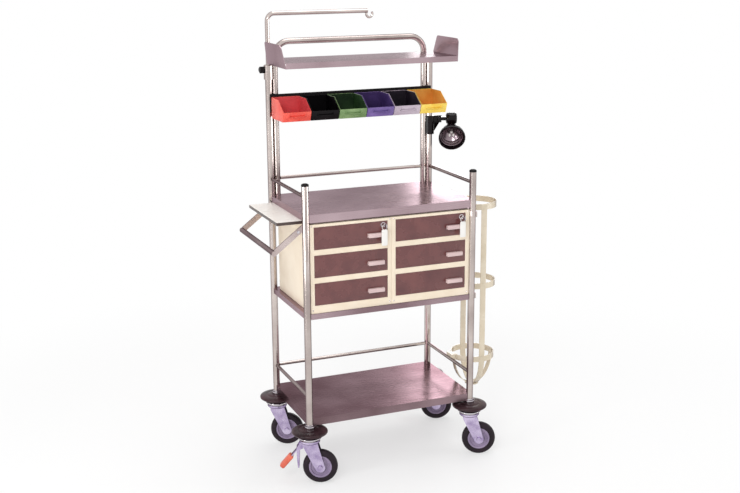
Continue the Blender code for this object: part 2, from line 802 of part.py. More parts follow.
def build_lamp():
    """A clamp on the right rear post, a swinging arm and a tilting lamp bowl."""
    x = post_x
    collar_low = lamp_level - lamp_collar_drop - lamp_collar_height / 2
    collar_high = collar_low + lamp_collar_height
    half = lamp_lug_height / 2
    collar = rod((x, post_y, collar_low), (x, post_y, collar_high), lamp_collar_radius)
    lug = box((x, post_y - lamp_arm_width / 2, lamp_level - half),
              (x + lamp_lug + lamp_arm_width / 2, post_y + lamp_arm_width / 2, lamp_level + half))
    bracket = fuse(collar, lug)
    above = collar_high + lamp_knob_length
    below = collar_low - lamp_knob_length
    bracket = cut(bracket, rod((x, post_y, below), (x, post_y, above), post_radius + seat_gap))
    bracket = cut(bracket, hoop_leg_space(1, below, above))
    slot_half = half / 2
    bracket = cut(bracket, box((x + lamp_lug - lamp_arm_width / 2 - turn_gap, post_y - lamp_arm_width,
                                lamp_level - slot_half),
                               (x + 2 * lamp_lug, post_y + lamp_arm_width, lamp_level + slot_half)))
    pivot = Vector((x + lamp_lug, post_y, lamp_level))
    pin = rod(pivot - Vector((0, 0, 0.75 * half)), pivot + Vector((0, 0, 0.75 * half)),
              lamp_pin_radius + turn_gap, SMALL)
    finish("lamp_bracket", cut(bracket, pin), BLACK, 0.45)

    reach = Vector((math.cos(lamp_arm_turn), math.sin(lamp_arm_turn), 0))
    across = Vector((-reach.y, reach.x, 0))
    knuckle = pivot + reach * lamp_arm_length
    eye_half = lamp_knuckle_width / 2
    thick = slot_half - turn_gap
    width = lamp_arm_width / 2
    bar_end = lamp_arm_length - eye_half - turn_gap - lamp_shoulder / 2
    ends = [(pivot + along * reach + side * across)
            for along, side in ((0, -width), (bar_end, -width), (bar_end, width), (0, width))]
    arm = extrude_z([(p.x, p.y) for p in ends], lamp_level - thick, lamp_level + thick)
    arm = fuse(arm, rod(pivot - Vector((0, 0, thick)), pivot + Vector((0, 0, thick)), width))
    arm = fuse(arm, rod(pivot - Vector((0, 0, 0.7 * half)), pivot + Vector((0, 0, 0.7 * half)),
                        lamp_pin_radius, SMALL))
    shoulder = knuckle - reach * (eye_half + turn_gap)
    arm = fuse(arm, rod(shoulder - reach * lamp_shoulder, shoulder, lamp_knuckle_radius))
    outer = knuckle + reach * (eye_half + turn_gap)
    arm = fuse(arm, rod(shoulder - reach * lamp_shoulder / 3, outer + reach * lamp_shoulder,
                        lamp_pin_radius, SMALL))
    arm = fuse(arm, rod(outer, outer + reach * lamp_knob_length, lamp_knuckle_radius))
    finish("lamp_arm", arm, BLACK, 0.45, 0.0, pivot)

    wall = lamp_wall
    dome = [(lamp_radius * math.cos(a), lamp_depth * math.sin(a))
            for a in (0, 0.3, 0.6, 0.9, 1.2)]
    inner = [((lamp_radius - wall) * math.cos(a), (lamp_depth - wall) * math.sin(a))
             for a in (1.2, 0.9, 0.6, 0.3)]
    profile = [(0, lamp_depth - wall)] + inner + [(lamp_radius - wall, 0), (lamp_radius - wall, -wall * 2)]
    profile += [(lamp_radius + wall / 2, -wall * 2), (lamp_radius + wall / 2, wall)] + dome[1:]
    profile.append((0, lamp_depth))
    bowl = lathe(profile, WIDE)
    lean = Matrix.Rotation(lamp_arm_turn, 4, "Z") @ Matrix.Rotation(-math.pi / 2 - lamp_lean, 4, "X")
    hang = -across * lamp_forward - Vector((0, 0, lamp_drop))
    bowl.data.transform(Matrix.Translation(knuckle + hang) @ lean)
    eye = rod(knuckle - reach * eye_half, knuckle + reach * eye_half, lamp_knuckle_radius)
    neck_end = knuckle - across * lamp_neck_forward - Vector((0, 0, lamp_neck_drop))
    neck = rod(knuckle, neck_end, eye_half * 0.9, SMALL)
    head = fuse(bowl, neck, eye)
    head = cut(head, rod(knuckle - reach * lamp_knuckle_width, knuckle + reach * lamp_knuckle_width,
                         lamp_pin_radius + turn_gap, SMALL))
    finish("lamp_head", head, BLACK, 0.35, 0.0, knuckle)


def build_push_handle():
    """A tube grip on two flat arms that slope down and out from the left posts."""
    start_x = -post_x - post_radius - seat_gap
    end_x = start_x - handle_out + handle_bar_radius
    end_z = handle_arm_level - handle_down
    half = handle_arm_height / 2
    grip = rod((end_x, -post_y - handle_arm_wall, end_z), (end_x, post_y + handle_arm_wall, end_z),
               handle_bar_radius)
    slope = math.atan2(handle_arm_level - end_z, start_x - end_x)
    lift = half / math.cos(slope)
    outline = [(start_x, handle_arm_level - lift), (start_x, handle_arm_level + lift),
               (end_x, end_z + lift), (end_x, end_z - lift)]
    for side in (-1, 1):
        arm = extrude_y(outline, side * post_y - handle_arm_wall / 2, side * post_y + handle_arm_wall / 2)
        grip = fuse(grip, arm)
    finish("push_handle", grip, (0.62, 0.55, 0.55, 1.0), 0.35, 0.6)


def band(radius, level):
    """A flat ring of the cage."""
    half = cage_band / 2
    profile = [(radius - cage_wall, level - half), (radius, level - half),
               (radius, level + half), (radius - cage_wall, level + half)]
    return lathe(profile, WIDE, (cage_x, cage_y, 0))


def build_cage():
    """The cylinder cage: rings on upright strips, over a basket of curved straps."""
    cage = fuse(band(cage_radius, cage_top), band(cage_radius, cage_middle))
    half = cage_strip_width / 2
    low = cage_low + cage_band / 2 + seat_gap
    mid = cage_radius - cage_wall / 2
    for k in range(cage_strips):
        angle = cage_first_strip + 2 * math.pi * k / cage_strips
        strip = box((mid - cage_wall, -half, low), (mid, half, cage_top + cage_band / 2 - sheet))
        strip.data.transform(Matrix.Translation((cage_x, cage_y, 0)) @ Matrix.Rotation(angle, 4, "Z"))
        cage = fuse(cage, strip)
    finish("cylinder_cage", cage, CREAM, 0.4)

    basket = band(cage_radius, cage_low)
    drop = cage_low - cage_floor
    outer = [(mid * math.cos(a), cage_low - drop * math.sin(a)) for a in strap_angles()]
    inner = [((mid - cage_wall) * math.cos(a), cage_low - (drop - cage_wall) * math.sin(a))
             for a in reversed(strap_angles())]
    for k in range(basket_straps):
        strap = extrude_y(outer + inner, -half, half)
        angle = cage_first_strip + 2 * math.pi * k / basket_straps
        strap.data.transform(Matrix.Translation((cage_x, cage_y, 0)) @ Matrix.Rotation(angle, 4, "Z"))
        basket = fuse(basket, strap)
    plate = rod((cage_x, cage_y, cage_floor - cage_wall / 2), (cage_x, cage_y, cage_floor + cage_wall),
                cage_strip_width * 1.2)
    basket = fuse(basket, plate)
    stub_low = (post_x, cage_y - cage_strip_width, cage_low - cage_band / 2)
    stub_high = (cage_x - cage_radius + cage_wall / 2, cage_y + cage_strip_width, cage_low + cage_band / 2)
    stub = box(stub_low, stub_high)
    rail_z = base_level + base_rail_height
    stub = cut(stub, rod((post_x, -post_y, rail_z), (post_x, post_y, rail_z), rail_radius + seat_gap, SMALL))
    finish("cylinder_basket", fuse(basket, stub), CREAM, 0.4)


def strap_angles():
    """The turn of a basket strap in even steps, from the ring until just before the straps meet."""
    last = math.acos(0.6 * cage_strip_width / cage_radius)
    return [last * k / 6 for k in range(7)]


def build_casters():
    """Four swivel casters with buffers; two have brake pedals."""
    places = {"front_left": (-1, -1, True), "front_right": (1, -1, False),
              "rear_left": (-1, 1, False), "rear_right": (1, 1, True)}
    for name, (sx, sy, braked) in places.items():
        post = Vector((sx * post_x, sy * post_y, 0))
        finish(name + "_buffer", caster_buffer(), BLACK, 0.6).location = post
        turn_matrix = Matrix.Rotation(caster_turn, 4, "Z")
        fork = finish(name + "_fork", caster_fork(braked), (0.6, 0.58, 0.66, 1.0), 0.28, 1.0)
        fork.location = post
        fork.rotation_euler = (0, 0, caster_turn)
        wheel = finish(name + "_wheel", caster_wheel(), BLACK, 0.6)
        wheel.location = post + turn_matrix @ Vector((caster_offset, 0, wheel_radius))
        wheel.rotation_euler = (0, 0, caster_turn)
        if braked:
            pedal = finish(name + "_brake_pedal", brake_pedal(), (0.7, 0.2, 0.1, 1.0), 0.4)
            pedal.location = post + turn_matrix @ Vector((-pedal_pivot_out, 0, pedal_pivot_level()))
            pedal.rotation_euler = (0, 0, caster_turn)


def caster_buffer():
    """A rubber corner buffer: a round-edged disc over the cup of the swivel."""
    low = caster_height
    disc = low + buffer_cup_height
    top = disc + buffer_thickness
    edge = buffer_thickness / 2
    bore = king_pin_radius + turn_gap
    depth = low + king_pin_length + turn_gap
    profile = [(0, depth), (bore, depth), (bore, low), (buffer_cup_radius, low),
               (buffer_cup_radius, disc - seat_gap)]
    profile += [(buffer_radius - edge, disc)]
    profile += [(buffer_radius - edge + edge * math.cos(a), disc + edge + edge * math.sin(a))
                for a in (-math.pi / 4, 0, math.pi / 4)]
    profile += [(buffer_radius - edge, top), (0, top)]
    return lathe(profile, WIDE)


def fork_side():
    """Half the fork's width, measured to the outer face of a leg."""
    return wheel_width / 2 + fork_gap + fork_wall


def pedal_pivot_level():
    """The height of the brake pedal's pin."""
    return caster_height - crown_thickness - pedal_pivot_drop


def caster_fork(braked):
    """The swivelling fork: king pin, round crown, tapered legs and the axle."""
    top = caster_height - turn_gap
    low = top - crown_thickness
    crown = lathe([(0, top + king_pin_length), (0, low), (crown_radius - fork_wall, low),
                   (crown_radius, low + crown_thickness / 3), (crown_radius, top),
                   (king_pin_radius, top), (king_pin_radius, top + king_pin_length)][::-1], WIDE)
    leg_top = low + crown_thickness / 2
    front = -crown_radius * 0.66
    rear = crown_radius * 0.72
    outer = fork_side()
    outline = [(front, leg_top), (front, low - crown_thickness)]
    lower = arc(caster_offset, wheel_radius, fork_end_radius, math.radians(205), math.radians(395), 9)
    outline += lower + [(rear, leg_top)]
    for side in (-1, 1):
        inside = side * (outer - fork_wall)
        outside = side * outer
        leg = extrude_y(outline, min(inside, outside), max(inside, outside))
        crown = fuse(crown, leg)
    axle = rod((caster_offset, -outer - fork_wall / 2, wheel_radius),
               (caster_offset, outer + fork_wall / 2, wheel_radius), axle_radius, SMALL)
    crown = fuse(crown, axle)
    for side in (-1, 1):
        head = rod((caster_offset, side * (outer - fork_wall / 2), wheel_radius),
                   (caster_offset, side * (outer + axle_head_length), wheel_radius), axle_head, 6)
        crown = fuse(crown, head)
    if braked:
        lug_half = pedal_width / 2 + turn_gap
        level = pedal_pivot_level()
        for side in (-1, 1):
            inside = side * lug_half
            outside = side * (lug_half + fork_wall)
            lug = extrude_y([(front, leg_top), (-crown_radius * 0.9, leg_top),
                             (-pedal_pivot_out - 2 * pedal_pin_radius, level),
                             (-pedal_pivot_out, level - 2 * pedal_pin_radius), (front, level)],
                            min(inside, outside), max(inside, outside))
            crown = fuse(crown, lug)
        pin = rod((-pedal_pivot_out, -lug_half - fork_wall / 2, level),
                  (-pedal_pivot_out, lug_half + fork_wall / 2, level), pedal_pin_radius, SMALL)
        crown = fuse(crown, pin)
    return crown


def caster_wheel():
    """A tyre on a dished hub, turned as one, with its axle bore."""
    half = wheel_width / 2
    rim = wheel_radius - tyre_depth
    bore = axle_radius + turn_gap
    boss = axle_radius * 2
    edge = half / 2
    profile = [(bore, -half), (boss, -half), (boss + hub_recess, -half + hub_recess),
               (rim - hub_recess, -half + hub_recess), (rim, -half)]
    profile += [(wheel_radius - edge, -half), (wheel_radius - edge / 4, -half + edge / 2),
                (wheel_radius, -half + edge * 1.3)]
    profile += [(radius, -height) for radius, height in reversed(profile)]
    return lathe(profile, WIDE, (0, 0, 0), "Y")


def brake_pedal():
    """A foot lever on its pin, with two fingers that bear on the tyre."""
    bore = pedal_pin_radius + turn_gap
    eye_radius = bore + pedal_wall
    half = pedal_width / 2
    eye = rod((0, -half, 0), (0, half, 0), eye_radius)
    along = (-math.cos(pedal_slope), -math.sin(pedal_slope))
    normal = (-along[1], along[0])
    lift = pedal_wall / 2
    outline = []
    for distance, side in ((0, 1), (pedal_length, 1), (pedal_length, -1), (0, -1)):
        outline.append((along[0] * distance + normal[0] * side * lift,
                        along[1] * distance + normal[1] * side * lift))
    plate = extrude_y(outline, -half, half)
    toe = lathe([(0, -pedal_wall), (half, -pedal_wall), (half, pedal_wall), (0, pedal_wall)], ROUND)
    toe.data.transform(Matrix.Translation((along[0] * pedal_length, 0, along[1] * pedal_length))
                       @ Matrix.Rotation(-pedal_slope, 4, "Y"))
    pedal = fuse(eye, plate, toe)
    for side in (-1, 1):
        inside = side * (half - pedal_wall * 2)
        outside = side * half
        finger = extrude_y([(-eye_radius, 0), (eye_radius / 2, 0), (eye_radius / 3, -finger_drop * 0.5),
                            (finger_shoe, -finger_drop * 0.85), (finger_shoe, -finger_drop),
                            (-eye_radius * 0.5, -finger_drop), (-eye_radius * 0.9, -finger_drop * 0.5)],
                           min(inside, outside), max(inside, outside))
        pedal = fuse(pedal, finger)
    return cut(pedal, rod((0, -pedal_width, 0), (0, pedal_width, 0), bore, SMALL))


def main():
    """Clears the scene and builds every piece."""
    for old in list(bpy.data.objects):
        bpy.data.objects.remove(old)
    build_end_frames()
    build_caps()
    build_rear_rails()
    build_hoop()
    build_sheets()
    build_worktop()
    build_unit("left", -seat_gap / 2 - unit_width)
    build_unit("right", seat_gap / 2)
    build_board()
    build_top_shelf()
    build_bins()
    build_drip_rod()
    build_lamp()
    build_push_handle()
    build_cage()
    build_casters()


main()
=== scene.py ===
# %% [markdown]
# # Dressing a crash cart
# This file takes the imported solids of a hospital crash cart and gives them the
# look of the real one. Sizes come from the solids, so nothing is fitted by eye.
# Every step first says what the piece is, then how it could be made, and why
# this way was chosen.

# %% Load the frame
import json
import math

import bmesh
import bpy
from mathutils import Matrix, Vector


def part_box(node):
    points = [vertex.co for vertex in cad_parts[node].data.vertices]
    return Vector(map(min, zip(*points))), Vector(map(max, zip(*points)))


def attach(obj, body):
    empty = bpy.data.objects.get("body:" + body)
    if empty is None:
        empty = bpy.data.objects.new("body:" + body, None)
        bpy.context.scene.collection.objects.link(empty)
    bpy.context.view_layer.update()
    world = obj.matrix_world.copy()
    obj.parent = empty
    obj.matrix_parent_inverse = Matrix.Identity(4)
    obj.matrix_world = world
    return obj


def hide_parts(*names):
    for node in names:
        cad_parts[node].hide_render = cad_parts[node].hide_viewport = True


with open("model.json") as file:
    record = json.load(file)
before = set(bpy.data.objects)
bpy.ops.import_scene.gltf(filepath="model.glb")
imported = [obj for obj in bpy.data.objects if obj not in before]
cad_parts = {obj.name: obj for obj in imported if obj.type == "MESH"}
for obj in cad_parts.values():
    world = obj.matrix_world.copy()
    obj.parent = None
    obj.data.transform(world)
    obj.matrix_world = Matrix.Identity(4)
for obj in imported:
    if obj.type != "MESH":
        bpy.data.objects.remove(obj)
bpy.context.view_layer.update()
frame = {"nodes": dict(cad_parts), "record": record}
record = frame["record"]
nodes = frame["nodes"]
body_of = {node: body for body, names in record["behaviour"]["bodies"].items() for node in names}
joint_of = {joint["name"]: joint for joint in record["behaviour"]["joints"]}

# %% [markdown]
# ## Materials in general
# A finish has three parts: a colour that is never quite even, a roughness that
# changes where hands and cloths have been, and a grain that tips the surface
# a little. One noise can drive all three. The noise reads Object coordinates,
# so it stays put when a drawer slides or a wheel turns. Stretching it with a
# Mapping node turns round spots into the long streaks of brushed metal.

# %% Helpers for node materials
def new_finish(name, roughness, metallic=0.0, **constants):
    """A Principled material with its constants on the shader's own sockets."""
    finish = bpy.data.materials.new(name)
    finish.use_nodes = True
    shader = finish.node_tree.nodes["Principled BSDF"]
    shader.inputs["Roughness"].default_value = roughness
    shader.inputs["Metallic"].default_value = metallic
    for socket, value in constants.items():
        shader.inputs[socket.replace("_", " ")].default_value = value
    return finish, shader


def noise_on(finish, scale, stretch=(1, 1, 1), detail=4.0):
    """A noise on Object coordinates, stretched along an axis if asked."""
    tree = finish.node_tree
    place = tree.nodes.new("ShaderNodeTexCoord")
    mapping = tree.nodes.new("ShaderNodeMapping")
    mapping.inputs["Scale"].default_value = stretch
    noise = tree.nodes.new("ShaderNodeTexNoise")
    noise.inputs["Scale"].default_value = scale
    noise.inputs["Detail"].default_value = detail
    tree.links.new(place.outputs["Object"], mapping.inputs["Vector"])
    tree.links.new(mapping.outputs["Vector"], noise.inputs["Vector"])
    return noise.outputs["Fac"]


def two_tone(finish, factor, dark, light, low=0.35, high=0.65):
    """Spreads a noise between two colours."""
    ramp = finish.node_tree.nodes.new("ShaderNodeValToRGB")
    first, last = ramp.color_ramp.elements
    first.position, first.color = low, (*dark, 1)
    last.position, last.color = high, (*light, 1)
    finish.node_tree.links.new(factor, ramp.inputs["Fac"])
    return ramp.outputs["Color"]


def spread(finish, factor, low, high):
    """Maps a noise from its usual middle range to other numbers."""
    span = finish.node_tree.nodes.new("ShaderNodeMapRange")
    span.inputs["From Min"].default_value = 0.3
    span.inputs["From Max"].default_value = 0.7
    span.inputs["To Min"].default_value = low
    span.inputs["To Max"].default_value = high
    finish.node_tree.links.new(factor, span.inputs["Value"])
    return span.outputs["Result"]


def grain_on(finish, shader, height, strength, depth):
    """Tips the surface by a height."""
    bump = finish.node_tree.nodes.new("ShaderNodeBump")
    bump.inputs["Strength"].default_value = strength
    bump.inputs["Distance"].default_value = depth
    finish.node_tree.links.new(height, bump.inputs["Height"])
    finish.node_tree.links.new(bump.outputs["Normal"], shader.inputs["Normal"])


def wire(finish, shader, **outputs):
    """Plugs colours and numbers into the shader."""
    for socket, output in outputs.items():
        finish.node_tree.links.new(output, shader.inputs[socket.replace("_", " ")])


print("material helpers ready")

# %% [markdown]
# ## Steel
# The frame is polished stainless tube, the shelves are brushed sheet. Both show
# a warm mauve in this light. A tube is polished round its axis, so its marks
# are fine rings; a sheet is brushed along its length, so its marks are long
# lines. A round bar in a studio has dark edges, because there it mirrors the
# dark side of the room. The room here is white, so that dark reflection is
# painted into the colour with Layer Weight: its Facing output is 0 where a
# surface looks at the eye and 1 at the rim, where the colour is darkened.

# %% Steel finishes
def painted_dark_rim(finish, colour, rim, start):
    """Paints a dark reflection into a colour toward the rim of what the eye sees."""
    tree = finish.node_tree
    facing = tree.nodes.new("ShaderNodeLayerWeight")
    facing.inputs["Blend"].default_value = 0.5
    reach = tree.nodes.new("ShaderNodeMapRange")
    reach.interpolation_type = "SMOOTHSTEP"
    reach.inputs["From Min"].default_value = start
    reach.inputs["From Max"].default_value = 0.96
    mix = tree.nodes.new("ShaderNodeMix")
    mix.data_type = "RGBA"
    mix.blend_type = "MULTIPLY"
    mix.inputs["B"].default_value = (*rim, 1)
    tree.links.new(facing.outputs["Facing"], reach.inputs["Value"])
    tree.links.new(reach.outputs["Result"], mix.inputs["Factor"])
    tree.links.new(colour, mix.inputs["A"])
    return mix.outputs["Result"]


def brushed(name, dark, light, stretch, roughness=(0.2, 0.34), patches=7.0, rim=None, depth=0.00004):
    """Metal with streaks, and a painted dark reflection at the rim if a rim colour is given; stretch is high
    across the streaks and low along them.
    """
    finish, shader = new_finish(name, roughness[0], 1.0, Specular_Tint=(0.55, 0.5, 0.52, 1))
    streaks = noise_on(finish, 1.0, stretch, 3.0)
    clouds = noise_on(finish, patches, (1, 1, 1), 5.0)
    colour = two_tone(finish, clouds, dark, light, 0.32, 0.68)
    if rim:
        colour = painted_dark_rim(finish, colour, rim, 0.2)
    wire(finish, shader, Base_Color=colour, Roughness=spread(finish, streaks, *roughness))
    grain_on(finish, shader, streaks, 0.25, depth)
    return finish


# Painted reflection: this dark rim colour, and the rim colours of the zinc and chrome below, are a dark
# room's reflection painted toward the rim.
PAINTED_RIM_REFLECTION = (0.13, 0.085, 0.11)
tube_steel = brushed("tube_steel", (0.42, 0.355, 0.335), (0.66, 0.585, 0.55), (90, 90, 900), (0.12, 0.2),
                     7.0, PAINTED_RIM_REFLECTION)
# Partly painted reflection: the broad dark and light patches of the sheets stand for changing reflections,
# beside the steel's own uneven tone.
sheet_steel = brushed("sheet_steel", (0.25, 0.165, 0.185), (0.56, 0.43, 0.465), (9, 700, 700),
                      (0.2, 0.34), 2.2)
# Painted dark reflection: the base shelf is the same sheet steel, made darker for the dark underside of the
# unit that it mirrors.
base_steel = brushed("base_steel", (0.12, 0.07, 0.078), (0.36, 0.255, 0.28), (9, 700, 700),
                     (0.2, 0.34), 2.2)
handle_steel = brushed("handle_steel", (0.46, 0.37, 0.36), (0.68, 0.58, 0.56), (500, 12, 500), (0.2, 0.32),
                       7.0, PAINTED_RIM_REFLECTION)
bright_zinc = brushed("bright_zinc", (0.36, 0.28, 0.47), (0.68, 0.59, 0.78), (260, 260, 260), (0.2, 0.36),
                      26.0, (0.2, 0.14, 0.24))
chrome = brushed("chrome", (0.66, 0.62, 0.66), (0.80, 0.76, 0.79), (300, 300, 300), (0.06, 0.16), 7.0,
                 (0.3, 0.25, 0.29))
print("steel finishes: 6")

# %% [markdown]
# ## Plastics, paint and rubber
# Moulded plastic has a faint leather grain and a sheen that wanders a little.
# Enamel on the cylinder cage is thicker, so its grain is a slow orange peel.
# The drawers are smoked brown plastic, and rubber is the roughest of all. One
# function makes them all from a dark and a light tone of the same colour.

# %% Plastic, paint and rubber finishes
def moulded(name, dark, light, roughness, grain=900.0, depth=0.00005, rim=None, **constants):
    """Plastic or rubber: a wandering tone, a wandering sheen and a fine grain, with painted shade toward the
    rim if a rim colour is given.
    """
    finish, shader = new_finish(name, roughness[0], **constants)
    clouds = noise_on(finish, 16.0, (1, 1, 1), 5.0)
    pores = noise_on(finish, grain, (1, 1, 1), 2.0)
    colour = two_tone(finish, clouds, dark, light, 0.3, 0.7)
    if rim:
        colour = painted_dark_rim(finish, colour, rim, 0.45)
    wire(finish, shader, Base_Color=colour, Roughness=spread(finish, clouds, *roughness))
    grain_on(finish, shader, pores, 0.35, depth)
    return finish


cream_case = moulded("cream_case", (0.85, 0.72, 0.56), (0.91, 0.80, 0.65), (0.34, 0.46))
# Painted shade: the enamel darkens to brown toward the rim, where its bands turn away from the eye.
cream_enamel = moulded("cream_enamel", (0.74, 0.64, 0.48), (0.84, 0.75, 0.60), (0.2, 0.32), 160.0, 0.0001,
                       (0.32, 0.24, 0.18))
smoked = moulded("smoked", (0.112, 0.032, 0.034), (0.172, 0.056, 0.053), (0.2, 0.34), 1100.0,
                 Coat_Weight=0.35, Coat_Roughness=0.12)
pale_pull = moulded("pale_pull", (0.62, 0.45, 0.45), (0.75, 0.58, 0.56), (0.28, 0.4))
white_tag = moulded("white_tag", (0.84, 0.82, 0.79), (0.93, 0.91, 0.88), (0.45, 0.6))
black_plastic = moulded("black_plastic", (0.003, 0.002, 0.003), (0.009, 0.007, 0.008), (0.4, 0.55),
                        Specular_IOR_Level=0.18)
black_enamel = moulded("black_enamel", (0.003, 0.001, 0.002), (0.011, 0.005, 0.008), (0.16, 0.28), 220.0,
                       Specular_IOR_Level=0.22)
tyre_rubber = moulded("tyre_rubber", (0.008, 0.004, 0.007), (0.024, 0.014, 0.021), (0.5, 0.7), 700.0, 0.0001,
                      Specular_IOR_Level=0.25)
buffer_rubber = moulded("buffer_rubber", (0.016, 0.006, 0.008), (0.078, 0.036, 0.043), (0.26, 0.44), 420.0,
                        0.0001, Specular_IOR_Level=0.22)
hub_plastic = moulded("hub_plastic", (0.22, 0.165, 0.27), (0.37, 0.29, 0.43), (0.34, 0.5))
pedal_red = moulded("pedal_red", (0.58, 0.08, 0.045), (0.78, 0.17, 0.1), (0.34, 0.5))
print("moulded finishes: 11")

# %% [markdown]
# ## Board
# The massage board is laminate on a dark core. The two colours could be two
# materials, but one is simpler: the surface's own Normal says which way it
# faces, and where it faces up or down the laminate shows.

# %% Board finish
def laminate(name, edge, dark, light):
    """Pale laminate on the flat faces, a dark core along the edges."""
    finish, shader = new_finish(name, 0.32)
    tree = finish.node_tree
    marble = noise_on(finish, 30.0, (1, 4, 1), 5.0)
    top = two_tone(finish, marble, dark, light, 0.3, 0.7)
    facing = tree.nodes.new("ShaderNodeNewGeometry")
    split = tree.nodes.new("ShaderNodeSeparateXYZ")
    flat = tree.nodes.new("ShaderNodeMath")
    flat.operation = "ABSOLUTE"
    over = tree.nodes.new("ShaderNodeMath")
    over.operation = "GREATER_THAN"
    over.inputs[1].default_value = 0.9
    mix = tree.nodes.new("ShaderNodeMix")
    mix.data_type = "RGBA"
    mix.inputs["A"].default_value = (*edge, 1)
    tree.links.new(facing.outputs["Normal"], split.inputs[0])
    tree.links.new(split.outputs["Z"], flat.inputs[0])
    tree.links.new(flat.outputs[0], over.inputs[0])
    tree.links.new(over.outputs[0], mix.inputs["Factor"])
    tree.links.new(top, mix.inputs["B"])
    wire(finish, shader, Base_Color=mix.outputs["Result"], Roughness=spread(finish, marble, 0.26, 0.4))
    grain_on(finish, shader, marble, 0.2, 0.00003)
    return finish


board_laminate = laminate("board_laminate", (0.07, 0.045, 0.04), (0.95, 0.90, 0.83), (0.99, 0.96, 0.91))
print("board finish:", board_laminate.name)

# %% [markdown]
# ## Bins
# The bins are glossy plastic in six colours. Most get painted shade inside:
# darker tones and less sheen where little light comes back out. The mesh will
# say which faces look inward, by a number on each face, and the material reads
# that number.

# %% Bin finishes
INSIDE = "inside"


def bin_plastic(name, dark, light, shade_dark, shade_light, sheen=0.35):
    """Moulded plastic with painted shade, darker tones and less sheen, on the faces marked as inside."""
    finish, shader = new_finish(name, 0.3)
    tree = finish.node_tree
    clouds = noise_on(finish, 22.0, (1, 1, 1), 5.0)
    mark = tree.nodes.new("ShaderNodeAttribute")
    mark.attribute_name = INSIDE
    mix = tree.nodes.new("ShaderNodeMix")
    mix.data_type = "RGBA"
    tree.links.new(mark.outputs["Fac"], mix.inputs["Factor"])
    tree.links.new(two_tone(finish, clouds, dark, light, 0.3, 0.7), mix.inputs["A"])
    tree.links.new(two_tone(finish, clouds, shade_dark, shade_light, 0.3, 0.7), mix.inputs["B"])
    shine = tree.nodes.new("ShaderNodeMapRange")
    shine.inputs["To Min"].default_value = sheen
    shine.inputs["To Max"].default_value = sheen / 5
    tree.links.new(mark.outputs["Fac"], shine.inputs["Value"])
    wire(finish, shader, Base_Color=mix.outputs["Result"], Roughness=spread(finish, clouds, 0.26, 0.42),
         Specular_IOR_Level=shine.outputs["Result"])
    grain_on(finish, shader, noise_on(finish, 900.0), 0.3, 0.00004)
    return finish


# Painted shade: the last two colours of each bin are its insides, darkened for the shade there.
bin_finish = {
    "red": bin_plastic("red_bin_finish", (0.80, 0.075, 0.055), (0.94, 0.15, 0.105),
                       (0.66, 0.06, 0.07), (0.80, 0.10, 0.11)),
    "black": bin_plastic("black_bin_finish", (0.002, 0.0015, 0.002), (0.006, 0.004, 0.005),
                         (0.001, 0.0005, 0.001), (0.003, 0.002, 0.003), 0.15),
    "green": bin_plastic("green_bin_finish", (0.14, 0.25, 0.09), (0.27, 0.40, 0.18),
                         (0.008, 0.025, 0.008), (0.03, 0.07, 0.025)),
    "blue": bin_plastic("blue_bin_finish", (0.135, 0.085, 0.28), (0.24, 0.16, 0.44),
                        (0.034, 0.018, 0.09), (0.082, 0.048, 0.185)),
    "grey": bin_plastic("grey_bin_finish", (0.46, 0.38, 0.46), (0.62, 0.53, 0.61),
                        (0.008, 0.006, 0.01), (0.03, 0.022, 0.035)),
    "yellow": bin_plastic("yellow_bin_finish", (0.92, 0.60, 0.065), (0.98, 0.77, 0.17),
                          (0.82, 0.31, 0.045), (0.92, 0.47, 0.10)),
}
print("bin finishes:", len(bin_finish))

# %% [markdown]
# ## Putting finishes on the solids
# A solid whose shape is already right keeps its mesh and only gets a finish in
# its material slots. The list runs from the tubes down to the keys.

# %% Dress the solids
def dress(finish, *names):
    """Puts a finish in every slot of some CAD nodes."""
    for name in names:
        for holder in nodes[name].material_slots:
            holder.material = finish


dress(tube_steel, "left_end_frame", "right_end_frame", "worktop_rear_rail", "base_rear_rail", "shelf_hoop",
      "drip_rod", "rod_clamp")
dress(sheet_steel, "worktop", "unit_tray", "top_shelf")
dress(base_steel, "base_shelf")
dress(chrome, "left_top_key", "right_top_key")
dress(handle_steel, "push_handle")
dress(black_plastic, "front_left_cap", "front_right_cap", "clamp_knob", "bin_rail")
dress(black_enamel, "lamp_bracket", "lamp_arm", "lamp_head")
dress(cream_case, "left_unit", "right_unit")
dress(cream_enamel, "cylinder_cage", "cylinder_basket")
dress(board_laminate, "massage_board")
dress(white_tag, "left_top_tag", "right_top_tag")
drawers = [side + "_" + row for side in ("left", "right") for row in ("bottom", "middle", "top")]
for drawer in drawers:
    dress(smoked, drawer + "_drawer")
    dress(pale_pull, drawer + "_pull")
for colour, finish in bin_finish.items():
    dress(finish, colour + "_bin")
corners = ["front_left", "front_right", "rear_left", "rear_right"]
for corner in corners:
    dress(buffer_rubber, corner + "_buffer")
    dress(bright_zinc, corner + "_fork")
    dress(tyre_rubber, corner + "_wheel")
for corner in ("front_left", "rear_right"):
    dress(bright_zinc, corner + "_brake_pedal")
print("dressed", len(nodes), "solids")

# %% [markdown]
# ## Pieces of our own
# New pieces are made in place, in the frame's own metres, and then told which
# body they ride on. `add_piece` does that in one place, so that no piece is
# forgotten: it gives the finish, the body, and the solid that the piece stands
# for, if any.

# %% Helpers for pieces
MERGE = 0.000002


def add_piece(piece, finish, body, stands_for=()):
    """Finishes a piece and ties it to its body."""
    piece.data.materials.clear()
    piece.data.materials.append(finish)
    piece.data.shade_smooth()
    piece.data.set_sharp_from_angle(angle=math.radians(32))
    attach(piece, body)
    if stands_for:
        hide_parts(*stands_for)
    return piece


def object_from(shape, name):
    """Turns a bmesh into an object at the origin with its faces outward."""
    bmesh.ops.remove_doubles(shape, verts=shape.verts, dist=MERGE)
    bmesh.ops.recalc_face_normals(shape, faces=shape.faces)
    mesh = bpy.data.meshes.new(name)
    shape.to_mesh(mesh)
    shape.free()
    piece = bpy.data.objects.new(name, mesh)
    bpy.context.scene.collection.objects.link(piece)
    return piece


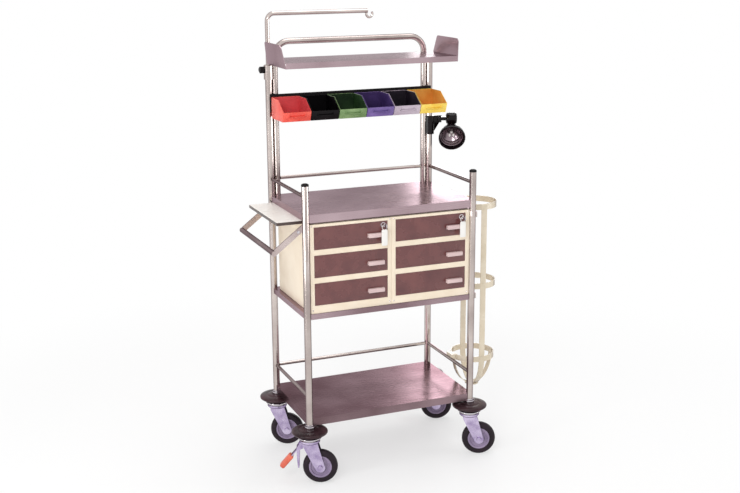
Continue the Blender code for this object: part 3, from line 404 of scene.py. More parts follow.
def turned(profile, sides, placing):
    """A bmesh of a closed (radius, height) profile turned about Z, then placed."""
    shape = bmesh.new()
    rings = []
    for radius, height in profile:
        count = 1 if radius < MERGE else sides
        rings.append([shape.verts.new((radius * math.cos(2 * math.pi * k / sides),
                                       radius * math.sin(2 * math.pi * k / sides), height))
                      for k in range(count)])
    for first, second in zip(rings, rings[1:] + rings[:1]):
        if len(first) == 1 and len(second) == 1:
            continue
        for k in range(sides):
            after = (k + 1) % sides
            corners_round = [first[k % len(first)], first[after % len(first)],
                             second[after % len(second)], second[k % len(second)]]
            shape.faces.new(list(dict.fromkeys(corners_round)))
    bmesh.ops.transform(shape, matrix=placing, verts=shape.verts)
    return shape


def gathered(shapes):
    """One bmesh that holds several. The several are freed."""
    whole = bmesh.new()
    for shape in shapes:
        mesh = bpy.data.meshes.new("gathered")
        shape.to_mesh(mesh)
        shape.free()
        whole.from_mesh(mesh)
        bpy.data.meshes.remove(mesh)
    return whole


def along(direction, place):
    """A matrix that stands local Z along a direction at a place."""
    return Matrix.Translation(Vector(place)) @ Vector(direction).to_track_quat("Z", "Y").to_matrix().to_4x4()


print("piece helpers ready")

# %% [markdown]
# ## Soft edges
# Real sheet and mouldings have no knife edges, and a small round edge catches
# a line of light that tells the eye how big a thing is. The solids are made of
# loose triangles, so a copy is merged and its flat faces are joined first. A
# Bevel modifier then rounds only the edges that turn sharply. The copy stays
# inside the solid it stands for.

# %% Soften the edges
def softened(name, width, finish, segments=2):
    """A copy of a solid with small round edges, which stands for it."""
    shape = bmesh.new()
    shape.from_mesh(nodes[name].data)
    bmesh.ops.remove_doubles(shape, verts=shape.verts, dist=MERGE)
    bmesh.ops.dissolve_limit(shape, angle_limit=math.radians(0.5), verts=shape.verts, edges=shape.edges)
    mesh = bpy.data.meshes.new(name + "_soft")
    shape.to_mesh(mesh)
    shape.free()
    draft = bpy.data.objects.new(name + "_draft", mesh)
    bpy.context.scene.collection.objects.link(draft)
    edge = draft.modifiers.new("round_edges", "BEVEL")
    edge.width = width
    edge.segments = segments
    edge.limit_method = "ANGLE"
    edge.angle_limit = math.radians(40)
    edge.use_clamp_overlap = True
    graph = bpy.context.evaluated_depsgraph_get()
    result = bpy.data.meshes.new_from_object(draft.evaluated_get(graph))
    bpy.data.objects.remove(draft)
    piece = bpy.data.objects.new(name + "_soft", result)
    bpy.context.scene.collection.objects.link(piece)
    return add_piece(piece, finish, body_of[name], (name,))


def mark_inside(piece, node, wall=0.0035):
    """Stores 1 on the faces that look into the bin, where shade is painted, and 0 on its outer skin."""
    low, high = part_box(node)
    mesh = piece.data
    mark = mesh.attributes.new(INSIDE, "FLOAT", "FACE")
    for face in mesh.polygons:
        x, y, z = face.center
        faces_in = (face.normal.x * (x - (low[0] + high[0]) / 2) < -0.0001
                    or (face.normal.y < -0.5 and y > (low[1] + high[1]) / 2)
                    or (face.normal.z > 0.5 and z < low[2] + 2 * wall))
        deep = low[0] + wall / 3 < x < high[0] - wall / 3 and z < high[2] - wall / 2
        mark.data[face.index].value = 1.0 if faces_in and deep else 0.0


for side in ("left", "right"):
    softened(side + "_unit", 0.0012, cream_case)
for drawer in drawers:
    softened(drawer + "_drawer", 0.0009, smoked)
    softened(drawer + "_pull", 0.0006, pale_pull)
for colour, finish in bin_finish.items():
    mark_inside(softened(colour + "_bin", 0.0008, finish), colour + "_bin")
for tag in ("left_top_tag", "right_top_tag"):
    softened(tag, 0.0004, white_tag)
print("softened", 2 + 2 * len(drawers) + len(bin_finish) + 2, "mouldings")

# %% [markdown]
# ## Wheels
# A caster wheel is a rubber tyre on a plastic hub with moulded rings. The solid
# is one turned body, so both halves of the look are turned here from their own
# profiles: the tyre with a rounded tread, the hub with the rings that show in
# the photograph. Each reads its axis from the joint that it rolls on.

# %% Tyres and hubs
WHEEL_RADIUS = 0.0625
TREAD_HALF = 0.015
HUB_RADIUS = 0.0405
BORE = 0.0066

tyre_profile = [(HUB_RADIUS, -0.0118), (0.0425, -0.0142)]
tyre_profile += [(0.0475, -TREAD_HALF), (0.0535, -0.01475), (0.0578, -0.0128), (0.0607, -0.0095),
                 (0.0621, -0.0055), (WHEEL_RADIUS, -0.0018), (0.0622, 0.0)]
tyre_profile += [(radius, -offset) for radius, offset in reversed(tyre_profile[:-1])]
hub_half = [(BORE, -0.0148), (0.0125, -0.0148), (0.0138, -0.0138), (0.0145, -0.0105), (0.0215, -0.0092),
            (0.0225, -0.0112), (0.0262, -0.0112), (0.0272, -0.0092), (0.0330, -0.0092), (0.0345, -0.0128),
            (HUB_RADIUS, -0.0134), (HUB_RADIUS + 0.001, -0.012)]
hub_profile = hub_half + [(radius, -offset) for radius, offset in reversed(hub_half)]
for corner in corners:
    roll = joint_of[corner + "_roll"]
    placing = along(roll["axis"], roll["pos_m"])
    tyre = object_from(turned(tyre_profile, 72, placing), corner + "_tyre")
    hub = object_from(turned(hub_profile, 64, placing), corner + "_hub")
    wheel = corner + "_wheel"
    add_piece(tyre, tyre_rubber, body_of[wheel], (wheel,))
    add_piece(hub, hub_plastic, body_of[wheel])
print("wheels:", len(corners), "tyres and hubs, radius", WHEEL_RADIUS)

# %% [markdown]
# ## Buffers, dishes and collars
# A rubber disc round each caster keeps the cart from scraping walls. It is
# turned from a finer profile than the solid's: a lens with a round rim on a
# short neck. Below the neck shows the bright dish that holds the swivel's
# balls, and a pale steel collar closes the foot of each post above the disc.

# %% Buffers, dishes and post collars
DISC_TOP = 0.205
RIM_RADIUS = 0.0585
RIM_ROUND = 0.006
RIM_LEVEL = 0.1945
DISH_TOP = 0.1775
feet = {}
for corner in corners:
    post = joint_of[corner + "_swivel"]["pos_m"]
    feet[corner] = Matrix.Translation((post[0], post[1], 0))
buffer_profile = [(0, 0.1804), (0.0084, 0.1804), (0.0084, DISH_TOP), (0.0345, DISH_TOP), (0.0352, 0.1835),
                  (0.040, 0.1862), (0.050, 0.1876)]
buffer_profile += [(RIM_RADIUS + RIM_ROUND * math.cos(a), RIM_LEVEL + RIM_ROUND * math.sin(a))
                   for a in [math.radians(d) for d in range(-75, 76, 15)]]
buffer_profile += [(0.052, 0.2018), (0.042, 0.2031), (0.0395, 0.2026), (0.0365, 0.2026), (0.034, 0.2039),
                   (0.02, DISC_TOP), (0, DISC_TOP)]
dish_profile = [(0.0084, DISH_TOP - 0.0004), (0.0084, 0.1668), (0.034, 0.1654), (0.0378, 0.1668),
                (0.0392, 0.1702), (0.0412, 0.1722), (0.043, 0.1728), (0.0434, 0.1742), (0.043, 0.1756),
                (0.0405, 0.1764), (0.036, DISH_TOP - 0.0004)]
collar_profile = [(0.0127, 0.2054), (0.0172, 0.2054), (0.0176, 0.2062), (0.0176, 0.2125), (0.0166, 0.2138),
                  (0.0152, 0.2142), (0.0152, 0.2195), (0.0142, 0.2204), (0.0127, 0.2204)]
for corner in corners:
    foot = feet[corner]
    node = corner + "_buffer"
    rubber = object_from(turned(buffer_profile, 72, foot), corner + "_bumper")
    add_piece(rubber, buffer_rubber, body_of[node], (node,))
    dish = object_from(turned(dish_profile, 64, foot), corner + "_swivel_dish")
    add_piece(dish, chrome, body_of[node])
collars = gathered([turned(collar_profile, 40, feet[corner]) for corner in corners])
add_piece(object_from(collars, "post_collars"), chrome, "cart")
print("buffers and dishes:", len(corners), "each, and one set of collars")

# %% [markdown]
# ## Tubes as a rule
# The hoop over the top shelf and the drip rod are bent tubes, and a tube is a
# rule: a round profile carried along a path. Here the hoop is made that way.
# Geometry Nodes hold that rule in one small tree, with the radius and the
# number of sides as named inputs. The path is a polyline whose corners are
# rounded by the same arc each time.

# %% A tube tree
def new_tree(name, inputs):
    """A Geometry Nodes tree with named inputs and one geometry output."""
    tree = bpy.data.node_groups.new(name, "GeometryNodeTree")
    tree.interface.new_socket(name="Geometry", in_out="INPUT", socket_type="NodeSocketGeometry")
    for label, kind in inputs:
        tree.interface.new_socket(name=label, in_out="INPUT", socket_type=kind)
    tree.interface.new_socket(name="Geometry", in_out="OUTPUT", socket_type="NodeSocketGeometry")
    return tree, tree.nodes.new("NodeGroupInput"), tree.nodes.new("NodeGroupOutput")


def finish_tree(tree, given, last, result):
    """Ends a tree in Realize Instances and Set Material."""
    realize = tree.nodes.new("GeometryNodeRealizeInstances")
    paint = tree.nodes.new("GeometryNodeSetMaterial")
    tree.links.new(result, realize.inputs["Geometry"])
    tree.links.new(realize.outputs["Geometry"], paint.inputs["Geometry"])
    tree.links.new(given.outputs["Finish"], paint.inputs["Material"])
    tree.links.new(paint.outputs["Geometry"], last.inputs["Geometry"])


def run_tree(tree, start, name, **values):
    """Runs a tree on a start mesh and gives the result as a plain mesh object."""
    carrier = bpy.data.objects.new(name + "_carrier", start)
    bpy.context.scene.collection.objects.link(carrier)
    step = carrier.modifiers.new("rule", "NODES")
    step.node_group = tree
    for item in tree.interface.items_tree:
        label = item.name.replace(" ", "_")
        if item.in_out == "INPUT" and label in values:
            step[item.identifier] = values[label]
    bpy.context.view_layer.update()
    graph = bpy.context.evaluated_depsgraph_get()
    mesh = bpy.data.meshes.new_from_object(carrier.evaluated_get(graph))
    bpy.data.objects.remove(carrier)
    piece = bpy.data.objects.new(name, mesh)
    bpy.context.scene.collection.objects.link(piece)
    return piece


tube_tree, given, last = new_tree("Tube along a path", [
    ("Radius", "NodeSocketFloat"), ("Sides", "NodeSocketInt"), ("Finish", "NodeSocketMaterial")])
to_curve = tube_tree.nodes.new("GeometryNodeMeshToCurve")
circle = tube_tree.nodes.new("GeometryNodeCurvePrimitiveCircle")
to_mesh = tube_tree.nodes.new("GeometryNodeCurveToMesh")
to_mesh.inputs["Fill Caps"].default_value = True
tube_tree.links.new(given.outputs["Geometry"], to_curve.inputs["Mesh"])
tube_tree.links.new(given.outputs["Sides"], circle.inputs["Resolution"])
tube_tree.links.new(given.outputs["Radius"], circle.inputs["Radius"])
tube_tree.links.new(to_curve.outputs["Curve"], to_mesh.inputs["Curve"])
tube_tree.links.new(circle.outputs["Curve"], to_mesh.inputs["Profile Curve"])
finish_tree(tube_tree, given, last, to_mesh.outputs["Mesh"])
print("tree:", tube_tree.name)

# %% Paths with round corners
def rounded_path(path_corners, bend, steps=14):
    """Points through corners, each turn an arc of one radius."""
    path_corners = [Vector(point) for point in path_corners]
    path = [path_corners[0]]
    for before, turn, after in zip(path_corners, path_corners[1:], path_corners[2:]):
        back = (before - turn).normalized()
        ahead = (after - turn).normalized()
        half = back.angle(ahead) / 2
        centre = turn + (back + ahead).normalized() * (bend / math.sin(half))
        start = turn + back * bend / math.tan(half) - centre
        end = turn + ahead * bend / math.tan(half) - centre
        axis = start.cross(end).normalized()
        for k in range(steps + 1):
            path.append(centre + Matrix.Rotation(start.angle(end) * k / steps, 3, axis) @ start)
    path.append(path_corners[-1])
    return path


def path_mesh(points, name):
    """A mesh of edges through points, which a tree can read as a curve."""
    mesh = bpy.data.meshes.new(name)
    mesh.from_pydata(points, [(k, k + 1) for k in range(len(points) - 1)], [])
    return mesh


def tube_piece(name, points, radius, finish, sides=32):
    """A tube along points."""
    piece = run_tree(tube_tree, path_mesh(points, name + "_path"), name, Radius=radius, Sides=sides,
                     Finish=finish)
    shape = bmesh.new()
    shape.from_mesh(piece.data)
    bmesh.ops.remove_doubles(shape, verts=shape.verts, dist=MERGE)
    bmesh.ops.recalc_face_normals(shape, faces=shape.faces)
    shape.to_mesh(piece.data)
    shape.free()
    return piece


HOOP_RADIUS = 0.011
HOOP_BEND = 0.055
hoop_low, hoop_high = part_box("shelf_hoop")
hoop_half = hoop_high[0] - HOOP_RADIUS
hoop_y = (hoop_low[1] + hoop_high[1]) / 2
hoop_top = hoop_high[2] - HOOP_RADIUS
hoop_path = rounded_path([(-hoop_half, hoop_y, hoop_low[2]), (-hoop_half, hoop_y, hoop_top),
                          (hoop_half, hoop_y, hoop_top), (hoop_half, hoop_y, hoop_low[2])], HOOP_BEND)
hoop = tube_piece("hoop_tube", hoop_path, HOOP_RADIUS, tube_steel)
add_piece(hoop, tube_steel, "cart", ("shelf_hoop",))
print("hoop:", round(2 * hoop_half, 3), "m wide, top at", round(hoop_top, 3))

# %% [markdown]
# ## Lamp
# The lamp is a black bowl that faces the ward. Inside sits a ribbed reflector
# of bright metal with a small cluster of bulbs; its metal is given a dark
# colour, as painted shade inside the bowl. Both are turned about the bowl's
# own axis, which faces the front and looks a little down.

# %% Lamp reflector and bulbs
LAMP_TURN = math.radians(-22.0)
LAMP_LEAN = math.radians(-22.0)
LAMP_DROP = 0.068
LAMP_FORWARD = 0.040
knuckle = Vector(joint_of["lamp_head_tilt"]["pos_m"])
rearward = Vector((-math.sin(LAMP_TURN), math.cos(LAMP_TURN), 0))
lamp_place = (Matrix.Translation(knuckle - rearward * LAMP_FORWARD - Vector((0, 0, LAMP_DROP)))
              @ Matrix.Rotation(LAMP_TURN, 4, "Z") @ Matrix.Rotation(-math.pi / 2 - LAMP_LEAN, 4, "X"))
REFLECTOR_RADIUS = 0.0435
REFLECTOR_DEPTH = 0.032
REFLECTOR_INSET = 0.012
REFLECTOR_THROAT = 0.008
REFLECTOR_WALL = 0.002
RING_COUNT = 7
reflector_profile = [(0.006, REFLECTOR_INSET + REFLECTOR_DEPTH + REFLECTOR_WALL)]
for k in range(RING_COUNT + 1):
    share = k / RING_COUNT
    radius = REFLECTOR_THROAT + (REFLECTOR_RADIUS - REFLECTOR_THROAT) * share
    height = REFLECTOR_INSET + REFLECTOR_DEPTH * (1 - share ** 2.2)
    reflector_profile += [(radius - 0.0012, height + 0.0006), (radius, height)]
reflector_profile += [(REFLECTOR_RADIUS + 0.0006, REFLECTOR_INSET + 0.0008)]
reflector_profile += [(radius + 0.0002, height + REFLECTOR_WALL)
                      for radius, height in reversed(reflector_profile[1:-1])]
reflector = object_from(turned(reflector_profile, 64, lamp_place), "lamp_reflector")
# Painted shade: the reflector is bright metal, given dark tones for the shade inside the bowl.
reflector_metal = brushed("reflector_metal", (0.12, 0.09, 0.10), (0.34, 0.27, 0.30),
                          (300, 300, 300), (0.12, 0.28), 12.0)
add_piece(reflector, reflector_metal, "lamp_head")
glass_white = moulded("bulb_glass", (0.74, 0.70, 0.68), (0.86, 0.82, 0.8), (0.08, 0.18))
BULB_COUNT = 3
BULB_CIRCLE = 0.0085
BULB_LEVEL = 0.030
bulb_profile = [(0, -0.0105), (0.0026, -0.0098), (0.0048, -0.0075), (0.0056, -0.004), (0.0048, -0.0005),
                (0.0034, 0.002), (0.0034, 0.010), (0, 0.010)]
bulbs = []
for k in range(BULB_COUNT):
    angle = 2 * math.pi * k / BULB_COUNT + 0.5
    spot = Vector((BULB_CIRCLE * math.cos(angle), BULB_CIRCLE * math.sin(angle), BULB_LEVEL))
    bulbs.append(turned(bulb_profile, 24, lamp_place @ Matrix.Translation(spot)))
add_piece(object_from(gathered(bulbs), "lamp_bulbs"), glass_white, "lamp_head")
print("lamp: reflector with", RING_COUNT, "rings and", BULB_COUNT, "bulbs")

# %% [markdown]
# Behind the bowl stands the round housing of the lamp holder. A drum covers
# the knuckle and turns with the bowl, round the pin it tilts on. Under the
# arm's clamp a three-cornered web carries the load into the post.

# %% Lamp housing and web
HOUSING_RADIUS = 0.0215
HOUSING_FOOT = 0.047
HOUSING_LENGTH = 0.040
WEB_HALF = 0.003
housing_profile = [(0, HOUSING_FOOT), (HOUSING_RADIUS, HOUSING_FOOT)]
housing_profile += [(HOUSING_RADIUS * math.cos(a), HOUSING_FOOT + HOUSING_LENGTH - HOUSING_RADIUS * 0.8
                     * (1 - math.sin(a))) for a in [math.radians(d) for d in range(0, 90, 10)]]
housing_profile += [(0, HOUSING_FOOT + HOUSING_LENGTH - 0.0001)]
housing = object_from(turned(housing_profile, 48, lamp_place), "lamp_housing")
add_piece(housing, black_enamel, "lamp_head")
COVER_BORE = 0.0145
COVER_RADIUS = 0.0225
COVER_HALF = 0.0205
COVER_ROUND = 0.012
COVER_DROP = 0.0075
cover_profile = [(COVER_BORE, COVER_HALF)]
for end in (1, -1):
    for degrees in range(0, 91, 15):
        a = math.radians(degrees if end < 0 else 90 - degrees)
        cover_profile.append((COVER_RADIUS - COVER_DROP * (1 - math.cos(a)),
                              end * (COVER_HALF - COVER_ROUND * (1 - math.sin(a)))))
cover_profile.append((COVER_BORE, -COVER_HALF))
cover_place = (Matrix.Translation(knuckle) @ Matrix.Rotation(LAMP_TURN, 4, "Z")
               @ Matrix.Rotation(math.pi / 2, 4, "Y"))
add_piece(object_from(turned(cover_profile, 48, cover_place), "lamp_cover"), black_enamel,
          "lamp_head")
LUG_HALF = 0.014
CLAMP_WIDTH = 0.039
WEB_BITE = 0.002
WEB_INSET = 0.004
WEB_LIFT = 0.010
low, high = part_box("lamp_bracket")
web_top = joint_of["lamp_arm_swing"]["pos_m"][2] - LUG_HALF + WEB_BITE
web_corners = [(low[0] + CLAMP_WIDTH, web_top), (high[0] - WEB_INSET, web_top),
               (low[0] + CLAMP_WIDTH, low[2] + WEB_LIFT)]
web = bmesh.new()
sides = []
for offset in (-WEB_HALF, WEB_HALF):
    sides.append([web.verts.new((x, (low[1] + high[1]) / 2 + offset, z)) for x, z in web_corners])
web.faces.new(sides[0])
web.faces.new(list(reversed(sides[1])))
for k in range(3):
    web.faces.new((sides[0][k], sides[0][(k + 1) % 3], sides[1][(k + 1) % 3], sides[1][k]))
add_piece(object_from(web, "lamp_web"), black_enamel, "cart")
print("lamp housing, drum and web")

# %% [markdown]
# ## Small heads that repeat
# Screws, bolts and weld beads repeat all over the cart. One Geometry Nodes tree
# puts a head on every vertex of a little mesh of points, turned to face along
# a direction stored on the point, so a list of places is all that a new row of
# bolts needs.

# %% A tree that puts heads on points
heads_tree, given, last = new_tree("Heads on points", [
    ("Head", "NodeSocketObject"), ("Size", "NodeSocketFloat"), ("Finish", "NodeSocketMaterial")])
fetch = heads_tree.nodes.new("GeometryNodeObjectInfo")
direction = heads_tree.nodes.new("GeometryNodeInputNamedAttribute")
direction.data_type = "FLOAT_VECTOR"
direction.inputs["Name"].default_value = "facing"
align = heads_tree.nodes.new("FunctionNodeAlignEulerToVector")
align.axis = "Z"
on_points = heads_tree.nodes.new("GeometryNodeInstanceOnPoints")
heads_tree.links.new(given.outputs["Head"], fetch.inputs["Object"])
heads_tree.links.new(direction.outputs["Attribute"], align.inputs["Vector"])
heads_tree.links.new(given.outputs["Geometry"], on_points.inputs["Points"])
heads_tree.links.new(fetch.outputs["Geometry"], on_points.inputs["Instance"])
heads_tree.links.new(align.outputs["Rotation"], on_points.inputs["Rotation"])
heads_tree.links.new(given.outputs["Size"], on_points.inputs["Scale"])
finish_tree(heads_tree, given, last, on_points.outputs["Instances"])


def heads(name, head, places, size, finish, body):
    """One piece of heads; places is a list of (point, direction)."""
    mesh = bpy.data.meshes.new(name + "_points")
    mesh.from_pydata([point for point, _ in places], [], [])
    facing = mesh.attributes.new("facing", "FLOAT_VECTOR", "POINT")
    for k, (_, way) in enumerate(places):
        facing.data[k].vector = way
    piece = run_tree(heads_tree, mesh, name, Head=head, Size=size, Finish=finish)
    return add_piece(piece, finish, body)


print("tree:", heads_tree.name)

# %% [markdown]
# A head is drawn once at unit size: a dome with a cross slot for screws, six
# flats for bolts, and a plain ring for the weld where a rail meets a post.

# %% The heads
def dome_screw():
    """A low dome of radius one, with a cross pressed into it."""
    rings = [(0, 0.52), (0.34, 0.49), (0.62, 0.41), (0.85, 0.24), (1.0, 0.0), (1.0, -0.12), (0, -0.12)]
    shape = turned(rings, 24, Matrix.Identity(4))
    for vert in shape.verts:
        arm = min(abs(vert.co.x), abs(vert.co.y))
        if vert.co.z > 0.3 and arm < 0.12:
            vert.co.z -= 0.2
    return object_from(shape, "dome_screw")


def hex_bolt():
    """A six-sided head with a chamfered top on a round washer."""
    washer = [(0, 0.12), (1.25, 0.12), (1.3, 0.06), (1.3, -0.1), (0, -0.1)]
    shape = turned(washer, 28, Matrix.Identity(4))
    flats = turned([(0, 0.8), (0.84, 0.8), (1.0, 0.66), (1.0, 0.1), (0, 0.1)], 6, Matrix.Identity(4))
    mesh = bpy.data.meshes.new("flats")
    flats.to_mesh(mesh)
    flats.free()
    shape.from_mesh(mesh)
    bpy.data.meshes.remove(mesh)
    return object_from(shape, "hex_bolt")


def weld_bead():
    """A ring of round section that lies where a bar enters a post."""
    section = [(1.0 + 0.16 * math.cos(a), 0.16 * math.sin(a))
               for a in [2 * math.pi * k / 8 for k in range(8)]]
    return object_from(turned(section, 28, Matrix.Identity(4)), "weld_bead")


dome, hexagon, bead = dome_screw(), hex_bolt(), weld_bead()
POST_X, POST_Y, POST_RADIUS = 0.3175, 0.185, 0.0125
RAIL_RADIUS = 0.0065
RAIL_LEVELS = (1.042, 0.322)
BAR_LEVELS = (0.925, 0.620)
weld_places = []
for x in (-POST_X, POST_X):
    for z in RAIL_LEVELS:
        for y in (-1, 1):
            weld_places.append(((x, y * (POST_Y - POST_RADIUS + 0.0006), z), (0, -y, 0)))
heads("rail_welds", bead, weld_places, RAIL_RADIUS, tube_steel, "cart")
handle_bolts = [((-POST_X - 0.028, y * (POST_Y + 0.0025), BAR_LEVELS[0]), (0, y, 0)) for y in (-1, 1)]
heads("handle_bolts", hexagon, handle_bolts, 0.0042, chrome, "cart")
cage_bolts = [((POST_X + POST_RADIUS + 0.0042, y * POST_Y, z), (1, 0, 0)) for y in (-1, 1)
              for z in BAR_LEVELS]
heads("cage_bolts", dome, cage_bolts, 0.0052, chrome, "cart")
case_screws = []
for side in ("left", "right"):
    low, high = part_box(side + "_unit")
    for x in (low[0] + 0.0075, high[0] - 0.0075):
        for z in (low[2] + 0.012, high[2] - 0.006):
            case_screws.append(((x, low[1] + 0.0001, z), (0, -1, 0)))
heads("case_screws", dome, case_screws, 0.0024, chrome, "cart")
for model in (dome, hexagon, bead):
    bpy.data.objects.remove(model)
print("heads:", len(weld_places), "welds,", len(case_screws), "case screws")

# %% [markdown]
# ## Card holders on the bins
# The low front lip of each bin has a holder for a card: two short uprights on
# a ledge. Each is a row of bars, and a row is a rule too: a Mesh Line of points
# with one bar on each. The count, the pitch and the bar's size are the tree's
# inputs, so the same tree makes the pair of uprights and the single ledge.

# %% A tree that makes a row of bars
bars_tree, given, last = new_tree("Row of bars", [
    ("Count", "NodeSocketInt"), ("Pitch", "NodeSocketVector"), ("Start", "NodeSocketVector"),
    ("Bar", "NodeSocketVector"), ("Finish", "NodeSocketMaterial")])
line = bars_tree.nodes.new("GeometryNodeMeshLine")
bar = bars_tree.nodes.new("GeometryNodeMeshCube")
row = bars_tree.nodes.new("GeometryNodeInstanceOnPoints")
bars_tree.links.new(given.outputs["Count"], line.inputs["Count"])
bars_tree.links.new(given.outputs["Start"], line.inputs["Start Location"])
bars_tree.links.new(given.outputs["Pitch"], line.inputs["Offset"])
bars_tree.links.new(given.outputs["Bar"], bar.inputs["Size"])
bars_tree.links.new(line.outputs["Mesh"], row.inputs["Points"])
bars_tree.links.new(bar.outputs["Mesh"], row.inputs["Instance"])
finish_tree(bars_tree, given, last, row.outputs["Instances"])
CARD_WIDTH = 0.058
CARD_HEIGHT = 0.014
CARD_BAR = 0.0022
CARD_PROUD = 0.0045
for colour, finish in bin_finish.items():
    node = colour + "_bin"
    low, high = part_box(node)
    centre = (low[0] + high[0]) / 2
    face = low[1] + 0.0032
    ledge = low[2] + 0.018
    rows = {"uprights": (2, (CARD_BAR, CARD_PROUD, CARD_HEIGHT), ledge + CARD_HEIGHT / 2),
            "ledge": (1, (CARD_WIDTH + CARD_BAR, CARD_PROUD, CARD_BAR), ledge)}
    for label, (count, bar, level) in rows.items():
        start = Vector((centre - CARD_WIDTH / 2 * (count - 1), face, level))
        bars = run_tree(bars_tree, bpy.data.meshes.new(node + "_start"), node + "_card_" + label, Count=count,
                        Pitch=Vector((CARD_WIDTH, 0, 0)), Start=start, Bar=Vector(bar), Finish=finish)
        add_piece(bars, finish, body_of[node])
print("card holders on", len(bin_finish), "bins")

# %% [markdown]
# ## Locks
# A chrome ring stands round each key hole.

# %% Lock rings
for side in ("left", "right"):
    turn = joint_of[side + "_top_key_turn"]
    ring_profile = [(0.0062, 0.0), (0.0096, 0.0), (0.0096, 0.0016), (0.0088, 0.0036), (0.0068, 0.0040),
                    (0.0062, 0.0034)]
    ring = object_from(turned(ring_profile, 40, along((0, -1, 0), turn["pos_m"])), side + "_lock_ring")
    add_piece(ring, chrome, side + "_top_drawer")
print("lock rings: 2")

# %% [markdown]
# ## Pedal pads
# The end of each brake pedal is a red pad. It is a rounded slab over the toe,
# made from a box whose edges are beveled until they are soft.

# %% Pedal pads
PEDAL_SLOPE = math.radians(50.0)
PEDAL_TURN = math.radians(-22.5)
PAD_SIZE = Vector((0.060, 0.0300, 0.0190))
PAD_CENTRE = Vector((-0.0685, 0, 0))
PAD_ROUND = 0.0078
for corner in ("front_left", "rear_right"):
    pivot = Vector(joint_of[corner + "_brake_press"]["pos_m"])
    lever = (Matrix.Translation(pivot) @ Matrix.Rotation(PEDAL_TURN, 4, "Z")
             @ Matrix.Rotation(-PEDAL_SLOPE, 4, "Y"))
    pad = bmesh.new()
    bmesh.ops.create_cube(pad, size=1.0)
    for vert in pad.verts:
        vert.co = PAD_CENTRE + vert.co * PAD_SIZE
    bmesh.ops.bevel(pad, geom=pad.edges[:], offset=PAD_ROUND, segments=5, profile=0.6, affect="EDGES",
                    clamp_overlap=True)
    bmesh.ops.transform(pad, matrix=lever, verts=pad.verts)
    add_piece(object_from(pad, corner + "_pedal_pad"), pedal_red, corner + "_brake_pedal")
print("pedal pads: 2")

# %% [markdown]
# ## Floor, light and camera
# The studio is a plain pale floor under soft light. The camera, the metal and
# any glass see a white world, and other light from it is weaker, so the lamps
# can shape the cart. Large area lamps stand on every side, because the cart is
# looked at from every side.

# %% Studio
def fade_to_white(finish, shader, near, far):
    """The camera and the metal see a partly white floor, wholly white away from the cart."""
    tree = finish.node_tree
    place = tree.nodes.new("ShaderNodeTexCoord")
    distance = tree.nodes.new("ShaderNodeVectorMath")
    distance.operation = "LENGTH"
    fade = tree.nodes.new("ShaderNodeMapRange")
    fade.interpolation_type = "SMOOTHSTEP"
    fade.inputs["From Min"].default_value = near
    fade.inputs["From Max"].default_value = far
    fade.inputs["To Min"].default_value = 0.55
    path = tree.nodes.new("ShaderNodeLightPath")
    seen = tree.nodes.new("ShaderNodeMath")
    seen.operation = "MAXIMUM"
    both = tree.nodes.new("ShaderNodeMath")
    both.operation = "MULTIPLY"
    white = tree.nodes.new("ShaderNodeEmission")
    white.inputs["Strength"].default_value = 1.0
    either = tree.nodes.new("ShaderNodeMixShader")
    tree.links.new(place.outputs["Object"], distance.inputs[0])
    tree.links.new(distance.outputs["Value"], fade.inputs["Value"])
    tree.links.new(path.outputs["Is Camera Ray"], seen.inputs[0])
    tree.links.new(path.outputs["Is Glossy Ray"], seen.inputs[1])
    tree.links.new(fade.outputs["Result"], both.inputs[0])
    tree.links.new(seen.outputs[0], both.inputs[1])
    tree.links.new(both.outputs[0], either.inputs["Fac"])
    tree.links.new(shader.outputs["BSDF"], either.inputs[1])
    tree.links.new(white.outputs["Emission"], either.inputs[2])
    tree.links.new(either.outputs["Shader"], tree.nodes["Material Output"].inputs["Surface"])


def studio_floor(size=60.0):
    """A wide pale floor just under the wheels."""
    shape = bmesh.new()
    bmesh.ops.create_circle(shape, cap_ends=True, radius=size, segments=64)
    bmesh.ops.transform(shape, matrix=Matrix.Translation((0, 0, -0.0004)), verts=shape.verts)
    floor = object_from(shape, "studio_floor")
    finish, shader = new_finish("pale_floor", 0.9, Specular_IOR_Level=0.1)
    wire(finish, shader, Base_Color=two_tone(finish, noise_on(finish, 0.4), (0.93, 0.93, 0.93),
                                             (0.95, 0.95, 0.95)))
    fade_to_white(finish, shader, 1.0, 2.4)
    floor.data.materials.append(finish)
    return floor


def area_lamp(name, place, aim, width, height, power):
    """A soft lamp that looks at a point and isn't seen itself."""
    data = bpy.data.lights.new(name, "AREA")
    data.shape = "RECTANGLE"
    data.size = width
    data.size_y = height
    data.energy = power
    lamp = bpy.data.objects.new(name, data)
    bpy.context.scene.collection.objects.link(lamp)
    lamp.location = place
    lamp.rotation_euler = (Vector(aim) - Vector(place)).to_track_quat("-Z", "Y").to_euler()
    lamp.visible_camera = False


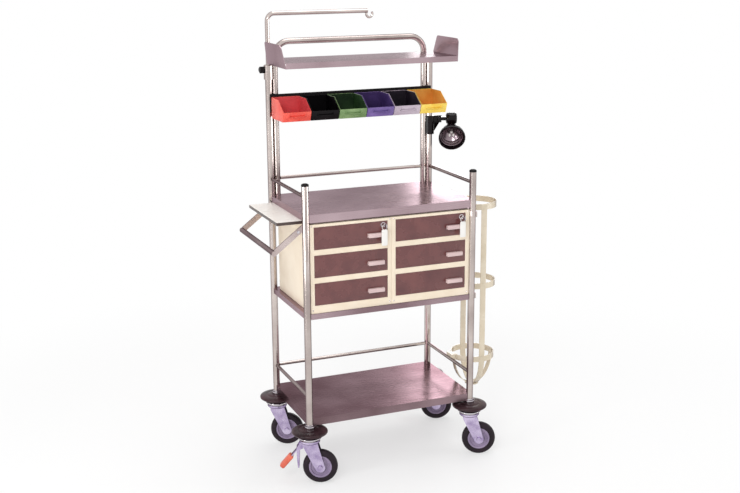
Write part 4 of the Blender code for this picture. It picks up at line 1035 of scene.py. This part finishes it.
studio_floor()
area_lamp("key", (-2.6, -3.4, 3.4), (0, 0, 0.8), 1.8, 1.8, 74)
area_lamp("left_strip", (-3.0, -1.3, 0.9), (0, 0, 0.9), 0.5, 1.8, 20)
area_lamp("right_strip", (2.9, -1.6, 0.9), (0, 0, 0.9), 0.3, 1.8, 10)
area_lamp("rear_strip", (1.75, 2.9, 1.0), (0, 0, 0.9), 0.5, 1.8, 16)
area_lamp("top", (0.4, 0.3, 4.2), (0, 0, 0.8), 2.5, 2.5, 45)
world = bpy.data.worlds.new("studio_world")
bpy.context.scene.world = world
world.use_nodes = True
sky = world.node_tree
sky.nodes.clear()
path = sky.nodes.new("ShaderNodeLightPath")
seen = sky.nodes.new("ShaderNodeMath")
seen.operation = "MAXIMUM"
through = sky.nodes.new("ShaderNodeMath")
through.operation = "MAXIMUM"
soft = sky.nodes.new("ShaderNodeBackground")
soft.inputs["Color"].default_value = (1.0, 1.0, 1.0, 1)
soft.inputs["Strength"].default_value = 0.62
plain = sky.nodes.new("ShaderNodeBackground")
plain.inputs["Color"].default_value = (1.0, 1.0, 1.0, 1)
plain.inputs["Strength"].default_value = 1.0
either = sky.nodes.new("ShaderNodeMixShader")
out = sky.nodes.new("ShaderNodeOutputWorld")
sky.links.new(path.outputs["Is Camera Ray"], seen.inputs[0])
sky.links.new(path.outputs["Is Glossy Ray"], seen.inputs[1])
sky.links.new(seen.outputs[0], through.inputs[0])
sky.links.new(path.outputs["Is Transmission Ray"], through.inputs[1])
sky.links.new(through.outputs[0], either.inputs["Fac"])
sky.links.new(soft.outputs["Background"], either.inputs[1])
sky.links.new(plain.outputs["Background"], either.inputs[2])
sky.links.new(either.outputs["Shader"], out.inputs["Surface"])
bpy.context.scene.view_settings.view_transform = "Standard"
print("studio ready")

# %% Camera
CAMERA_PLACE = Vector((-1.614, -3.890, 1.871))
CAMERA_YAW = math.radians(22.47)
CAMERA_PITCH = math.radians(-14.33)
CAMERA_ROLL = math.radians(-0.35)
sight = Vector((math.cos(CAMERA_PITCH) * math.sin(CAMERA_YAW), math.cos(CAMERA_PITCH) * math.cos(CAMERA_YAW),
                math.sin(CAMERA_PITCH)))
lens = bpy.data.cameras.new("photo_camera")
lens.sensor_width = 36.0
lens.sensor_fit = "HORIZONTAL"
lens.lens = 57.7
camera = bpy.data.objects.new("photo_camera", lens)
bpy.context.scene.collection.objects.link(camera)
camera.location = CAMERA_PLACE
camera.rotation_euler = (sight.to_track_quat("-Z", "Y").to_matrix().to_4x4()
                         @ Matrix.Rotation(CAMERA_ROLL, 4, "Z")).to_euler()
bpy.context.scene.camera = camera
print("camera:", round(lens.lens, 1), "mm at", [round(v, 3) for v in CAMERA_PLACE])
